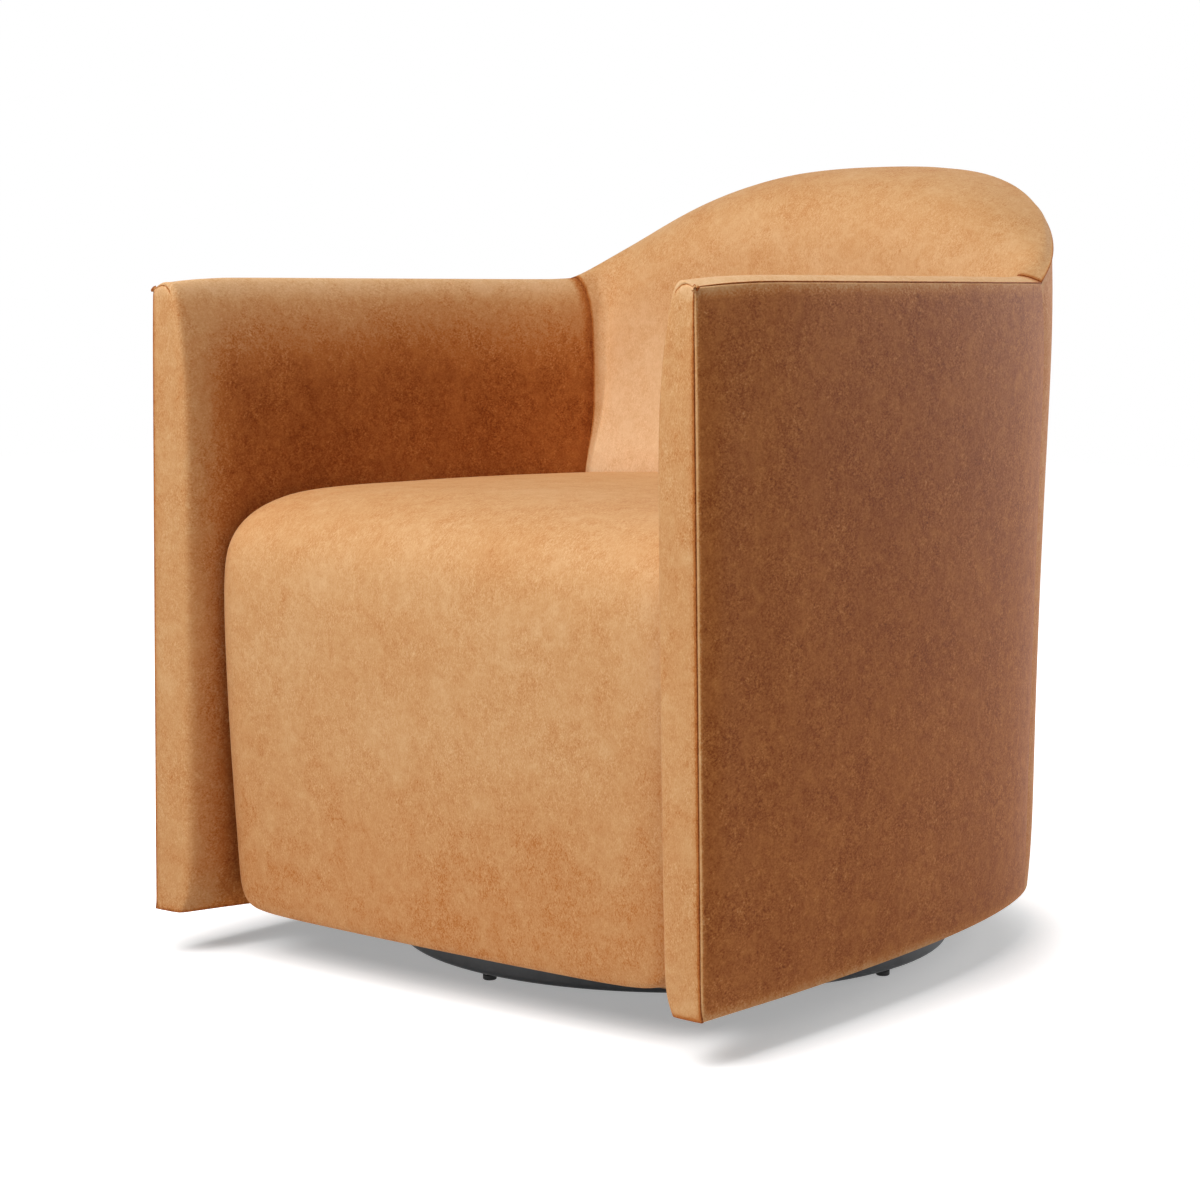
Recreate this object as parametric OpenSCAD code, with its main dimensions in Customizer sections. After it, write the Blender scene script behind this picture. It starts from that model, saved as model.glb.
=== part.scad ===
/* [Shell outline] */
// Distance of the arm fronts ahead of the swivel axis
arm_front = 390; // [370:1:410]
// Half width of the shell across the arm fronts, at the hem
front_half_w = 337; // [330:1:345]
// Greatest half width of the shell, at the hem
side_half_w = 341; // [335:1:350]
// Where the sides begin to curve in, ahead of the swivel axis
side_end = 267; // [235:1:295]
// Pull of the side on the rear curve
side_pull = 495; // [460:1:530]
// Pull of the back on the rear curve
back_pull = 267; // [250:1:285]
// Distance of the outside back behind the swivel axis, at the hem
back_reach = 375; // [360:1:385]
// How far the arm fronts lean in between the hem and the arm seam
front_lean = 10.5; // [4:0.5:14]
// How far the rear of the shell flares out over the same height
rear_flare = 13; // [3:0.5:16]
// Place of the arm and back seam along the rear curve
corner_share = 0.46; // [0.43:0.01:0.5]

/* [Heights] */
// Height of the leather's lower edge above the floor
hem_z = 44; // [42:1:52]
// Height of the arm's crest
arm_z = 655; // [635:1:675]
// Height of the back's crest in the middle
back_z = 774; // [750:1:790]
// Height of the seat's crown in the middle
seat_z = 455; // [440:1:468]
// Drop of the arm's crest at its front end
arm_drop = 5; // [4:1:16]
// Drop from a crest to the seam on its outer edge
seam_drop = 7; // [5:0.5:11]

/* [Arms] */
// Thickness of an arm from leather to leather
arm_t = 49; // [45:0.5:52]
// Height of the rounding on an arm's inner top edge
arm_roll = 150; // [120:1:165]
// Radius of an arm's inner front edge
arm_front_r = 9; // [6:1:12]
// How far the panels turn in at their seams
seam_turn = 3.5; // [2:0.5:4.5]

/* [Seat] */
// How far the seat front lies behind the arm fronts
seat_recess = 22; // [15:1:35]
// How far the seat front leans back at the hem
seat_lean = 14; // [10:1:24]
// Height of the rounding on the seat's front top edge
seat_roll_h = 108; // [80:1:120]
// Depth of that rounding
seat_roll_d = 172; // [120:1:190]
// Rise of the seat's crown above its side edges
seat_crown = 8; // [4:1:12]

/* [Back] */
// Distance of the inside back behind the swivel axis, at the seat
back_face = 175; // [165:1:185]
// Recline of the inside back in its middle, in degrees
recline = 10; // [6:1:12]
// Height of the rounding over the back's top
back_roll = 118; // [95:1:130]
// Share of the back's depth that is foam
foam_share = 0.35; // [0.3:0.01:0.38]

/* [Covers and padding] */
// Thickness of the inside leather with its wadding
cover_t = 2.5; // [2:0.5:3]
// Thickness of the outside leather with its wadding
outer_t = 6; // [5:0.5:7]
// Thickness of the foam on the arms
arm_foam_t = 10; // [8:0.5:11]
// Thickness of the bent fibreboards behind the outside leather
board_t = 3; // [2:0.5:4]
// Thickness of the cloth under the chair
dust_t = 1; // [0.8:0.1:1.5]
// Thickness of the felt on the springs
felt_t = 3; // [2:0.5:5]
// Clearance of soft pieces from what they lie against
lay = 0.3; // [0.2:0.05:0.5]

/* [Wooden frame] */
// Thickness of the plywood
ply = 18; // [15:1:20]
// Underside of the deck above the hem
deck_lift = 3; // [2:0.5:5]
// Width of the posts along the shell
post_w = 45; // [35:1:55]
// Width of the rear rails, across the shell
rail_w = 14; // [12:1:18]
// Height of the seat box's front board, from the floor
box_front_z = 340; // [325:1:345]
// Drop of the seat box's side boards below its front board
box_side_drop = 15; // [8:1:25]
// Half width of the seat box's front board
box_half_w = 262; // [250:1:268]
// Half width of the seat box's rear board
box_rear_half_w = 236; // [225:1:240]
// Space between the seat's cover and the box's front board
apron_t = 22; // [18:1:28]
// Leg of the triangular corner blocks
block_leg = 60; // [45:1:70]
// Height of the corner blocks
block_h = 50; // [40:1:60]
// Radius of the wood screws
screw_r = 2.2; // [2:0.1:2.5]
// Length of the wood screws
screw_l = 50; // [40:1:60]

/* [Springs and webbing] */
// Number of sinuous springs
spring_n = 5; // [4:1:5]
// Radius of the spring wire
wire_r = 1.9; // [1.6:0.1:2.2]
// Half width of a spring
spring_half_w = 26; // [22:1:30]
// Distance between the springs
spring_gap = 98; // [90:1:104]
// Number of back straps
strap_n = 4; // [3:1:4]
// Width of a back strap
strap_w = 60; // [50:1:65]
// Thickness of a back strap
strap_t = 2; // [1.5:0.5:3]
// Distance between the back straps
strap_gap = 78; // [72:1:84]

/* [Base ring] */
// Outer radius of the base ring
ring_r = 274; // [260:1:285]
// Width of the ring's tube
ring_w = 25; // [22:1:30]
// Height of the ring's tube
ring_h = 30; // [26:1:32]
// Height of the ring's underside above the floor
ring_z = 6.5; // [6:0.5:8]
// Wall of the base's tubes
tube_wall = 2; // [1.5:0.5:2.5]
// Radius of the ring tube's rounded edges
ring_edge = 5; // [3:0.5:6]
// Width of the cross tubes
cross_w = 40; // [35:1:45]
// Height of the cross tubes
cross_h = 20; // [16:1:20]
// Turn of the base about the swivel axis, in degrees
base_turn = -3; // [-20:1:20]

/* [Levelling glides] */
// Radius of a glide's pad
pad_r = 6.5; // [6:0.5:9]
// Height of a glide's pad
pad_h = 5.4; // [4.5:0.1:5.6]
// Radius of a glide's stud
stud_r = 3.9; // [3.4:0.1:4.4]
// Length of a glide's stud above its flange
stud_l = 27; // [24:1:28]
// Height of the nuts in the ring
glide_nut_h = 6.5; // [5:0.5:8]

/* [Swivel] */
// Side of the square swivel plates
plate_side = 200; // [180:1:220]
// Thickness of the swivel plates
plate_t = 3; // [2.5:0.5:3.5]
// Radius of the balls
ball_r = 4; // [3.8:0.1:4.1]
// Radius of the ball track
track_r = 70; // [62:1:74]
// Number of balls
ball_n = 24; // [16:1:26]
// Clearance of a ball in its groove and cage
ball_gap = 0.2; // [0.15:0.05:0.25]
// Depth of the ball grooves in the plates
groove_d = 0.6; // [0.4:0.1:0.8]
// Thickness of the ball cage
cage_t = 2; // [1.5:0.5:2.5]
// Radius of the pivot bolt
pivot_r = 8; // [7:0.5:10]
// Clearance of the pivot bolt in its bush
pivot_gap = 0.08; // [0.05:0.01:0.1]
// Wall of the pivot bush
bush_wall = 3; // [2:0.5:4]
// Radius of the plate bolts
bolt_r = 3; // [2.5:0.5:3.5]
// Distance of the plate bolts from the plate's edges
bolt_inset = 14; // [12:1:18]
// Height of the plate bolts' heads
bolt_head_h = 2.6; // [2:0.1:2.8]

/* [Hidden] */

tan_leather = "#c8955f";
shade_leather = "#9a6238";
foam_cream = "#efe6c8";
felt_grey = "#8f8d86";
board_brown = "#a98f6c";
birch = "#d9bf94";
beech = "#c9a06d";
spring_steel = "#7d8187";
zinc = "#b9bcc0";
strap_black = "#2e2e30";
dust_black = "#1d1d1f";
base_black = "#2b2d2f";
nylon_white = "#e8e6df";
pad_black = "#1a1a1b";

smooth = 96;
fine = 32;

shell_h = arm_z - seam_drop - hem_z;
shell_n = 12;
deck_z = hem_z + deck_lift;
deck_top = deck_z + ply;
board_lay = 1.2;
board_d = outer_t + board_lay;
frame_d = board_d + board_t + board_lay;
arm_foam_in = cover_t + lay + arm_foam_t;
frame_in = arm_t - arm_foam_in - lay;
post_inset = 2.5;
post_gap = 1.5;
post_clear = 4;
post_t = frame_in - frame_d - post_inset - post_clear;

function mix(a, b, t) = a + (b - a) * t;
function unit(v) = v / norm(v);
function flip(p) = [-p[0], p[1], p[2]];

// Outline of the shell at the hem: u runs from the arm front, 0, to the middle of the back, 1
side_share = 0.22;
rear_curve = [[side_half_w, -side_end], [side_half_w, side_pull - side_end],
    [back_pull, back_reach], [0, back_reach]];
function bezier(p, t) = p[0] * pow(1 - t, 3) + p[1] * 3 * t * pow(1 - t, 2)
    + p[2] * 3 * t * t * (1 - t) + p[3] * pow(t, 3);
function hem_line(u) = u < side_share
    ? mix([front_half_w, -arm_front], rear_curve[0], u / side_share)
    : bezier(rear_curve, (u - side_share) / (1 - side_share));
function tangent(u) = unit(hem_line(min(u + 0.005, 1)) - hem_line(max(u - 0.005, 0)));
function outward(u) = u > 0.999 ? [0, 1] : [tangent(u)[1], -tangent(u)[0]];
flare_power = 1.4;
function flare(u, h) = mix(-front_lean * h, rear_flare * pow(max(h, 0), flare_power), min(u / 0.6, 1));

// Point of the shell at u, d inside the leather's face, at height z
function shell(u, d, z) = hem_line(u) - outward(u) * (d - flare(u, (z - hem_z) / shell_h));
function shell3(u, d, z) = concat(shell(u, d, z), [z]);

u_corner = side_share + (1 - side_share) * corner_share;
u_inner = side_share + (1 - side_share) * (corner_share - 0.05);

// Height of the arm's crest along the arm, which drops towards the front
drop_reach = 110;
function arm_top(y) = arm_z - arm_drop * pow(max(0, (drop_reach - arm_front - y) / drop_reach), 2);

// Closed skin between two grids of the same size
function grid_faces(n, m, o, back) = [for (i = [0:n - 2], j = [0:m - 2], k = [0, 1])
    let (a = o + i * m + j, b = a + 1, c = a + m + 1, d = a + m)
    let (f = k == 0 ? [a, b, c] : [a, c, d]) back ? [f[2], f[1], f[0]] : f];
function rim_path(n, m) = concat([for (j = [0:m - 1]) j], [for (i = [1:n - 1]) i * m + m - 1],
    [for (j = [m - 2:-1:0]) (n - 1) * m + j], [for (i = [n - 2:-1:1]) i * m]);
module skin(outer, inner) {
    n = len(outer);
    m = len(outer[0]);
    rim = rim_path(n, m);
    s = n * m;
    rim_faces = [for (i = [0:len(rim) - 1], k = [0, 1])
        let (a = rim[i], b = rim[(i + 1) % len(rim)]) k == 0 ? [a, b, a + s] : [b, b + s, a + s]];
    points = concat([for (row = outer, p = row) p], [for (row = inner, p = row) p]);
    polyhedron(points, concat(grid_faces(n, m, 0, true), grid_faces(n, m, s, false), rim_faces));
}

// Section through an arm or the back: plan points a inside and b outside, with the roll between.
// e counts from the inside face, depth is how far the surface lies under the leather's face.
// The roll is a quarter of a superellipse of the given power.
face_rows = 5;
roll_rows = 7;
fall_rows = 3;
row_n = face_rows + roll_rows + fall_rows;
arm_power = 2;
back_power = 2.5;
function roll_e(s, power) = 1 - pow(cos(90 * s), 2 / power);
function roll_rise(s, power) = pow(sin(90 * s), 2 / power);

// A row of the section: low is where it starts, top the crest, roll the height of the rounding,
// share where the crest lies between the two faces, and turn the seam's distance from b
function section_e(i, depth, t, share, turn, power) = i <= face_rows ? depth
    : i <= face_rows + roll_rows
        ? mix(depth, t * share, roll_e((i - face_rows) / roll_rows, power))
        : mix(t * share, t - max(turn, depth), (i - face_rows - roll_rows) / fall_rows);
function section_z(i, depth, low, top, roll, steps, power) = i <= face_rows
    ? mix(low, top - roll, steps[i])
    : i <= face_rows + roll_rows
        ? mix(top - roll, top - depth, roll_rise((i - face_rows) / roll_rows, power))
        : top - depth - seam_drop * pow((i - face_rows - roll_rows) / fall_rows, 2);

// Inside arm: side columns run forward along the arm, then round its front edge.
// Its lower edge turns out under the arm's front, and in under the seat behind that.
arm_cols = 11;
front_cols = 5;
crest_share = 0.5;
seat_edge_z = seat_z - seat_crown;
arm_steps = [0, 0.03, 0.075, 0.76, (seat_edge_z - deck_top) / (arm_z - arm_roll - deck_top), 1];
tuck_out_w = 10;
tuck_in_w = 12;
tuck_under_h = 36;
tuck_run = 70;
function tuck_way(y) = mix(tuck_out_w, -tuck_in_w, min(1, max(0, (y + arm_front - arm_front_r) / tuck_run)));
function tuck_under(z, y) = tuck_way(y) * pow(max(0, 1 - (z - hem_z) / tuck_under_h), 2);
box_front_y = seat_recess - arm_front + seat_lean + cover_t + apron_t;
deck_notch = 26;
deck_notch_y = box_front_y + deck_notch;
step_gap = 5;
step_y = deck_notch_y - step_gap;
step_k = (step_y + arm_front) / (arm_front - side_end) * side_share / u_inner;
step_col = arm_cols - 4;
function arm_k(c) = c <= step_col ? mix(1 - lay / 400, step_k + 0.006, c / step_col)
    : c == step_col + 1 ? step_k : mix(step_k, 0, (c - step_col - 1) / (arm_cols - step_col - 1));
function arm_low(c) = c <= step_col ? deck_top + lay : hem_z;
corner_bow = 0.019;
function inner_u(z) = u_inner
    + corner_bow * sin(180 * min(max((z - seat_edge_z) / (arm_z - seat_edge_z), 0), 1));
function arm_in(k, z) = shell(k * inner_u(z), arm_t, z);
corner_swing = 0.038;
swing_h = 80;
function corner_u(z) = u_corner - corner_swing * pow(min(1, max(0, 1 - (arm_z - z) / swing_h)), 2);
function arm_out(k, z) = shell(k * corner_u(z), 0, z);
function along_front(p, inset) = [p[0], max(p[1], -arm_front + inset)];
function arm_point(c, i, depth, low) =
    let (k = arm_k(min(c, arm_cols)), m = max(0, c - arm_cols) / front_cols)
    let (edge = max(depth, 0), r = arm_front_r)
    let (y0 = arm_in(k, hem_z)[1], top = arm_top(y0))
    let (z = section_z(i, depth, low, top, arm_roll, arm_steps, arm_power))
    let (a = along_front(arm_in(k, min(z, top - arm_roll)), r), b = along_front(arm_out(k, z), r))
    let (t = norm(b - a), e = section_e(i, depth, t, crest_share, seam_turn, arm_power) + tuck_under(z, y0))
    c <= arm_cols ? concat(a + unit(b - a) * e, [z])
    : let (swing = min(m * 2, 1) * 90, run = max(0, m * 2 - 1))
      let (corner = a + [r, 0])
      let (arc = corner + (r - depth) * [-cos(swing), -sin(swing)])
      let (p = [mix(arc[0], b[0] - seam_turn, run), arc[1]])
      let (q = [b[0] - seam_turn, mix(b[1], -arm_front + depth + 1, m)])
      let (g = (e - depth) / (t - max(seam_turn, depth) - depth))
      concat(mix(p, q, g), [z]);
function arm_grid(depth, low, c1, i1) =
    [for (c = [c1:-1:0]) [for (i = [0:i1]) arm_point(c, i, depth, max(low, arm_low(c)))]];

module inside_arm_cover() {
    cols = arm_cols + front_cols;
    skin(arm_grid(0, hem_z, cols, row_n), arm_grid(cover_t, hem_z, cols, row_n));
}

arm_foam_lift = 30;
foam_lay = 0.8;
module arm_foam() {
    low = deck_top + arm_foam_lift;
    skin(arm_grid(cover_t + lay + foam_lay, low, arm_cols, row_n - 1),
        arm_grid(arm_foam_in, low, arm_cols, row_n - 1));
}

// Outside panels: edges turn in at the seams
turn_reach = 14;
function turned(s) = seam_turn * pow(1 - min(s / turn_reach, 1), 2);
z_rows = 8;
function row_share(j) = j == 0 ? 0 : j == 1 ? 0.4 : j == z_rows - 1 ? z_rows - 2.4
    : j == z_rows ? z_rows - 2 : j - 1;
function panel_point(u, z, top, edge, depth) =
    shell3(u, max(depth, turned(edge), turned(z - hem_z), turned(top - z)), z);
function panel_z(top, j) = mix(hem_z, top, row_share(j) / (z_rows - 2));
panel_drop = seam_drop + cover_t + 2 * lay;
function side_top(k) = arm_top(shell(k * u_corner, 0, arm_z)[1]) - panel_drop;
function side_point(k, j, depth) =
    let (top = side_top(k), z = panel_z(top, j), u = k * corner_u(z))
    let (at = hem_line(k * u_corner), edge = min(norm(at - hem_line(0)), norm(at - hem_line(u_corner))))
    panel_point(u, z, top, edge, depth);
function rear_panel_point(v, j, depth) =
    let (top = crest_height(v) - panel_drop, z = panel_z(top, j))
    let (edge = norm(hem_line(rear_u(v, hem_z)) - hem_line(u_corner)))
    let (p = panel_point(rear_u(v, z), z, top, edge, depth))
    v < 0 ? flip(p) : p;
function spread(a, b, n) = concat([a, mix(a, b, 0.35 / n)], [for (i = [1:n - 1]) mix(a, b, i / n)],
    [mix(a, b, 1 - 0.35 / n), b]);
function panel_row(k, depth) = [for (j = [z_rows:-1:0]) side_point(k, j, depth)];
module outside_arm_cover() {
    ks = spread((cover_t + lay) / 320, 1 - lay / 400, shell_n);
    skin([for (k = ks) panel_row(k, 0)], [for (k = ks) panel_row(k, outer_t)]);
}

// Inside back: v runs from the left corner, 1, through the middle, 0, to the right corner, -1
back_rise = 335;
back_low = deck_top + back_rise;
back_steps = [for (i = [0:face_rows]) i / face_rows];
back_cols = 28;
back_crest_share = 0.97;
corner_rise = 1;
ridge_power = 2.78;
function rear_u(v, z) = 1 - (1 - corner_u(z)) * abs(v);
function side_of(v, p) = v < 0 ? [-p[0], p[1]] : p;
function rear_point(v, z) = side_of(v, shell(rear_u(v, z), 0, z));
back_bow = 13;
corner_fill = 4;
function bow(z) = back_bow * sin(180 * min(max((z - seat_edge_z) / (arm_z - seat_edge_z), 0), 1));
function lean_back(z) = max(z - seat_edge_z, 0) * tan(recline);
function face_point(v, z) =
    let (corner = arm_in(1, z))
    let (y = mix(back_face + lean_back(z), corner[1] + bow(z) + corner_fill, pow(abs(v), 3)))
    [corner[0] * sin(90 * abs(v)) * (v < 0 ? -1 : 1), abs(v) > 0.999 ? corner[1] : y];
function ridge_share(u) = (1 - u) / (1 - u_corner);
function crest_height(v) =
    let (x = mix(face_point(abs(v), arm_z)[0], rear_point(abs(v), arm_z)[0], back_crest_share))
    let (side = mix(face_point(1, arm_z)[0], rear_point(1, arm_z)[0], back_crest_share))
    mix(arm_z + corner_rise, back_z, 1 - pow(x / side, ridge_power));
function roll_height(v) = mix(back_roll, arm_roll + corner_rise, pow(abs(v), 2));
function back_share(v) = mix(back_crest_share, crest_share, pow(abs(v), 4));
function back_point(v, i, depth, low) =
    let (top = crest_height(v), roll = roll_height(v), power = mix(back_power, arm_power, pow(abs(v), 4)))
    let (z = section_z(i, depth, low, top, roll, back_steps, power))
    let (zf = min(z, top - roll))
    let (a = face_point(v, zf), b = rear_point(v, z), t = norm(b - a))
    let (e = section_e(i, depth, t, back_share(v), seam_turn, power))
    concat(a + unit(b - a) * e, [z]);
function back_v(c) = mix(1, -1, c / back_cols);
foam_end = 0.98;
function back_grid(depth, low, i1, end = 1) =
    [for (c = [0:back_cols]) [for (i = [0:i1]) back_point(back_v(c) * end, i, depth, low)]];
module inside_back_cover() {
    skin(back_grid(0, back_low, row_n), back_grid(cover_t, back_low, row_n));
}

// The back's foam: its rear face lies at a share of the back's depth
function foam_depth(v) = foam_share * norm(rear_point(v, arm_z) - face_point(v, arm_z));
module back_foam() {
    d = cover_t + lay + foam_lay;
    rows = face_rows + roll_rows - 1;
    skin(back_grid(d, back_low, rows, foam_end),
        [for (c = [0:back_cols]) let (v = back_v(c) * foam_end)
            [for (i = [0:rows]) back_point(v, i, foam_depth(v), back_low)]]);
}

module outside_back_cover() {
    vs = spread(1, -1, 2 * shell_n - 2);
    function row(v, depth) = [for (j = [z_rows:-1:0]) rear_panel_point(v, j, depth)];
    skin([for (v = vs) row(v, 0)], [for (v = vs) row(v, outer_t)]);
}

// Seat: a profile across the seat is swept from the rear tuck, over the top and down the front
seat_front = arm_front - seat_recess;
seat_rear = back_face - 1;
seat_gap = 1.2;
seat_power = 3.1;
edge_roll_w = 38;
edge_roll_h = 46;
edge_power = 2.2;
seat_fall = 4;
tuck_h = 40;
tuck_r = 10;
hem_r = 8;
hem_corner_w = 44;
hem_corner_h = 54;
hem_corner_power = 1.7;
seat_taper = 8;
tuck_rows = 3;
top_rows = 6;
nose_rows = 9;
front_rows = 4;
hem_rows = 4;
path_n = tuck_rows + top_rows + nose_rows + front_rows + hem_rows;
nose_y = -seat_front + seat_roll_d;
nose_z = seat_z - seat_roll_h;
function lean_y(z) = -seat_front + seat_lean * pow(max(0, (nose_z - z) / (nose_z - hem_z)), 1.6);
function tuck_path(s) = [seat_rear - tuck_r * (1 - cos(90 * s)) * 0.9,
    seat_z - seat_fall - tuck_h * (1 - sin(90 * s))];
function top_path(s) = [mix(seat_rear - tuck_r, nose_y, s), seat_z - seat_fall * pow(1 - s, 2)];
function nose_path(s) = [nose_y - seat_roll_d * pow(sin(90 * s), 2 / seat_power),
    nose_z + seat_roll_h * pow(cos(90 * s), 2 / seat_power)];
function front_path(s) = let (z = mix(nose_z, hem_z + hem_r, s)) [lean_y(z), z];
function hem_path(s) = s > 0.9 ? [box_front_y - lay, hem_z]
    : let (a = 80 * s / 0.75)
      [lean_y(hem_z + hem_r) + hem_r * (1 - cos(a)), hem_z + hem_r * (1 - sin(a) / sin(80))];
function seat_path(i) = i < tuck_rows ? tuck_path(i / tuck_rows)
    : i < tuck_rows + top_rows ? top_path((i - tuck_rows) / top_rows)
    : i < path_n - front_rows - hem_rows ? nose_path((i - tuck_rows - top_rows) / nose_rows)
    : i < path_n - hem_rows ? front_path((i - path_n + front_rows + hem_rows) / front_rows)
    : hem_path((i - path_n + hem_rows) / hem_rows);
function seat_inward(i) = let (a = seat_path(max(i - 1, 0)), b = seat_path(min(i + 1, path_n)))
    let (t = unit(b - a)) [-t[1], t[0]];

// Where the arm's inside face is at y, found by halving
function u_at(y, z, lo = 0, hi = u_inner, n = 14) = let (m = (lo + hi) / 2) n == 0 ? m
    : shell(m, arm_t, z)[1] < y ? u_at(y, z, m, hi, n - 1) : u_at(y, z, lo, m, n - 1);
function seat_half_w(y, z) = shell(u_at(y, z), arm_t, z)[0] - seat_gap
    - seat_taper * max(0, (nose_z - z) / (nose_z - hem_z));

flat_cols = 5;
edge_cols = 5;
side_n = flat_cols + edge_cols + 1;
function edge_step(j) = sin(90 * j / edge_cols);
function profile_x(j, w) = j <= flat_cols ? (w - edge_roll_w) * j / flat_cols
    : w - edge_roll_w * (1 - edge_step(min(j - flat_cols, edge_cols)));
function profile_h(j, w) = let (x = profile_x(j, w)) seat_crown * pow(x / w, 2)
    + (j <= flat_cols ? 0 : edge_roll_h * 0.6
        * (1 - pow(1 - pow(edge_step(min(j - flat_cols, edge_cols)), edge_power), 1 / edge_power)))
    + (j == side_n ? edge_roll_h * 0.4 : 0);
function corner_lift(x, w, z) = let (s = max(0, (x - w + hem_corner_w) / hem_corner_w))
    hem_corner_h * (1 - pow(max(0, 1 - pow(s, hem_corner_power)), 1 / hem_corner_power))
    * max(0, (nose_z - z) / (nose_z - hem_z));
// Under the hem the profile runs inward only, as far as the box's front board and past its ends
board_end_gap = 8;
function hem_inward(p, x, h) =
    [x < box_half_w + board_end_gap ? min(p[0] + h, box_front_y - lay) : p[0] + h, p[1]];
function seat_point(i, c, depth) =
    let (j = abs(c), p = seat_path(i), n = seat_inward(i), w = seat_half_w(p[0], p[1]))
    let (h = profile_h(j, w) * mix(0.35, 1, min(i / tuck_rows, 1)), x = profile_x(j, w))
    let (edge = j > flat_cols ? edge_step(min(j - flat_cols, edge_cols)) : 0, in = depth * (1 - edge))
    let (q = i <= path_n - hem_rows ? p + n * (h + in) : hem_inward(p, x, h) + n * in)
    let (lift = i > path_n - front_rows - hem_rows ? corner_lift(x, w, p[1]) : 0)
    [sign(c) * (x - depth * edge), q[0], q[1] + lift];
function seat_grid(depth, step) =
    [for (i = [0:step:path_n]) [for (c = [side_n:-step:-side_n]) seat_point(i, c, depth)]];
module seat_cover() {
    color(tan_leather) skin(seat_grid(0, 1), seat_grid(cover_t, 1));
}

// Seat box of plywood boards on the deck, with its outer faces
box_rear_gap = 4;
box_rear_y = back_face + box_rear_gap;
box_front_in = box_front_y + ply;
box_side_z = box_front_z - box_side_drop;
clip_gap = 0.25;
clip_t = 1.1;
spring_z = box_front_z + clip_t + 0.1 + wire_r;
felt_z = spring_z + wire_r + lay;
foam_low = felt_z + felt_t + lay;
rear_board_z = back_low - ply - lay;

seat_foam_lay = 3;
apron_lay = 2.5;
foam_taper = 0.945;
module seat_foam() {
    // The foam's inner face is flat on the felt and on the box's front board
    step = 2;
    d = cover_t + seat_foam_lay;
    corner = tuck_rows + top_rows + 4;
    apron_y = box_front_y - apron_lay;
    apron_low = deck_top + apron_lay;
    function under(i) = i <= corner
        ? [mix(seat_rear - d - tuck_r, apron_y, (i - tuck_rows) / (corner - tuck_rows)), foam_low]
        : [apron_y, mix(foam_low, apron_low, pow((i - corner) / (path_n - corner), 1.3))];
    rows = [for (i = [tuck_rows:step:path_n - hem_rows]) i];
    color(foam_cream) skin([for (i = rows) [for (c = [side_n - 1:-step:1 - side_n]) seat_point(i, c, d)]],
        [for (i = rows) [for (c = [side_n - 1:-step:1 - side_n])
            [seat_point(i, c, d)[0] * foam_taper, under(i)[0], under(i)[1]]]]);
}

felt_inset = 16;
module spring_felt() {
    color(felt_grey) translate([-box_rear_half_w, box_front_in, felt_z])
        cube([2 * box_rear_half_w, seat_rear - felt_inset - box_front_in, felt_t]);
}

// Tube of a few sides swept along points, with flat ends
function ring_at(p, t, r, sides, up = [0, 0, 1]) = let (s = unit(cross(t, up)), w = cross(s, t))
    [for (k = [0:sides - 1]) p + r * (cos(360 * k / sides) * s + sin(360 * k / sides) * w)];
module tube(path, r, sides) {
    n = len(path);
    rings = [for (i = [0:n - 1]) let (a = path[max(i - 1, 0)], b = path[min(i + 1, n - 1)])
        ring_at(path[i], unit(b - a), r, sides)];
    sides_faces = [for (i = [0:n - 2], k = [0:sides - 1], h = [0, 1])
        let (k2 = (k + 1) % sides, a = i * sides + k, b = i * sides + k2, c = b + sides, d = a + sides)
        h == 0 ? [a, b, c] : [a, c, d]];
    ends = [for (k = [1:sides - 2], h = [0, 1]) h == 0 ? [0, k + 1, k]
        : [(n - 1) * sides, (n - 1) * sides + k, (n - 1) * sides + k + 1]];
    polyhedron([for (ring = rings, p = ring) p], concat(sides_faces, ends));
}

// Sinuous springs run from the front board to the rear board
spring_front_inset = 8;
spring_rear_gap = 3;
spring_y0 = box_front_in - ply + spring_front_inset;
spring_y1 = box_rear_y - spring_rear_gap;
spring_bars = 16;
spring_pitch = (spring_y1 - spring_y0) / spring_bars;
wire_sides = 6;
function spring_x(k) = (k - (spring_n - 1) / 2) * spring_gap;
function bar_side(i) = i % 2 == 0 ? 1 : -1;
function spring_path(x) =
    let (r = spring_pitch / 2, a = spring_half_w - r, last = bar_side(spring_bars - 1))
    concat([[x - a, spring_y0, spring_z]],
        [for (i = [0:spring_bars - 1], k = [0:2]) let (s = bar_side(i), y = spring_y0 + i * spring_pitch)
            k == 0 ? [x + s * a, y, spring_z]
                : [x + s * (a + r * sin(60)), y + r * (k == 1 ? 0.5 : 1.5), spring_z]],
        [[x + last * a, spring_y1, spring_z], [x - last * a, spring_y1, spring_z]]);
module seat_springs() {
    color(spring_steel) for (k = [0:spring_n - 1]) tube(spring_path(spring_x(k)), wire_r, wire_sides);
}

// Clips hold the end bars of the springs: a plate under the bar and a lip over it
clip_w = 14;
clip_foot = 5;
clip_lip_cut = 0.6;
module clip(base_z, reach) {
    r = wire_r + clip_gap;
    difference() {
        translate([-clip_w / 2, -r - clip_t, base_z])
            cube([clip_w, reach + r + clip_t, spring_z + r + clip_t - clip_lip_cut - base_z]);
        translate([-clip_w, 0, spring_z]) rotate([0, 90, 0]) cylinder(r = r, h = 2 * clip_w, $fn = fine);
    }
}
module spring_clips() {
    color(zinc) for (k = [0:spring_n - 1]) {
        translate([spring_x(k), spring_y0, 0]) clip(box_front_z, clip_foot);
        translate([spring_x(k), spring_y1, 0])
            clip(spring_z - wire_r - clip_gap - clip_t, box_rear_y - spring_y1);
    }
}

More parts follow.
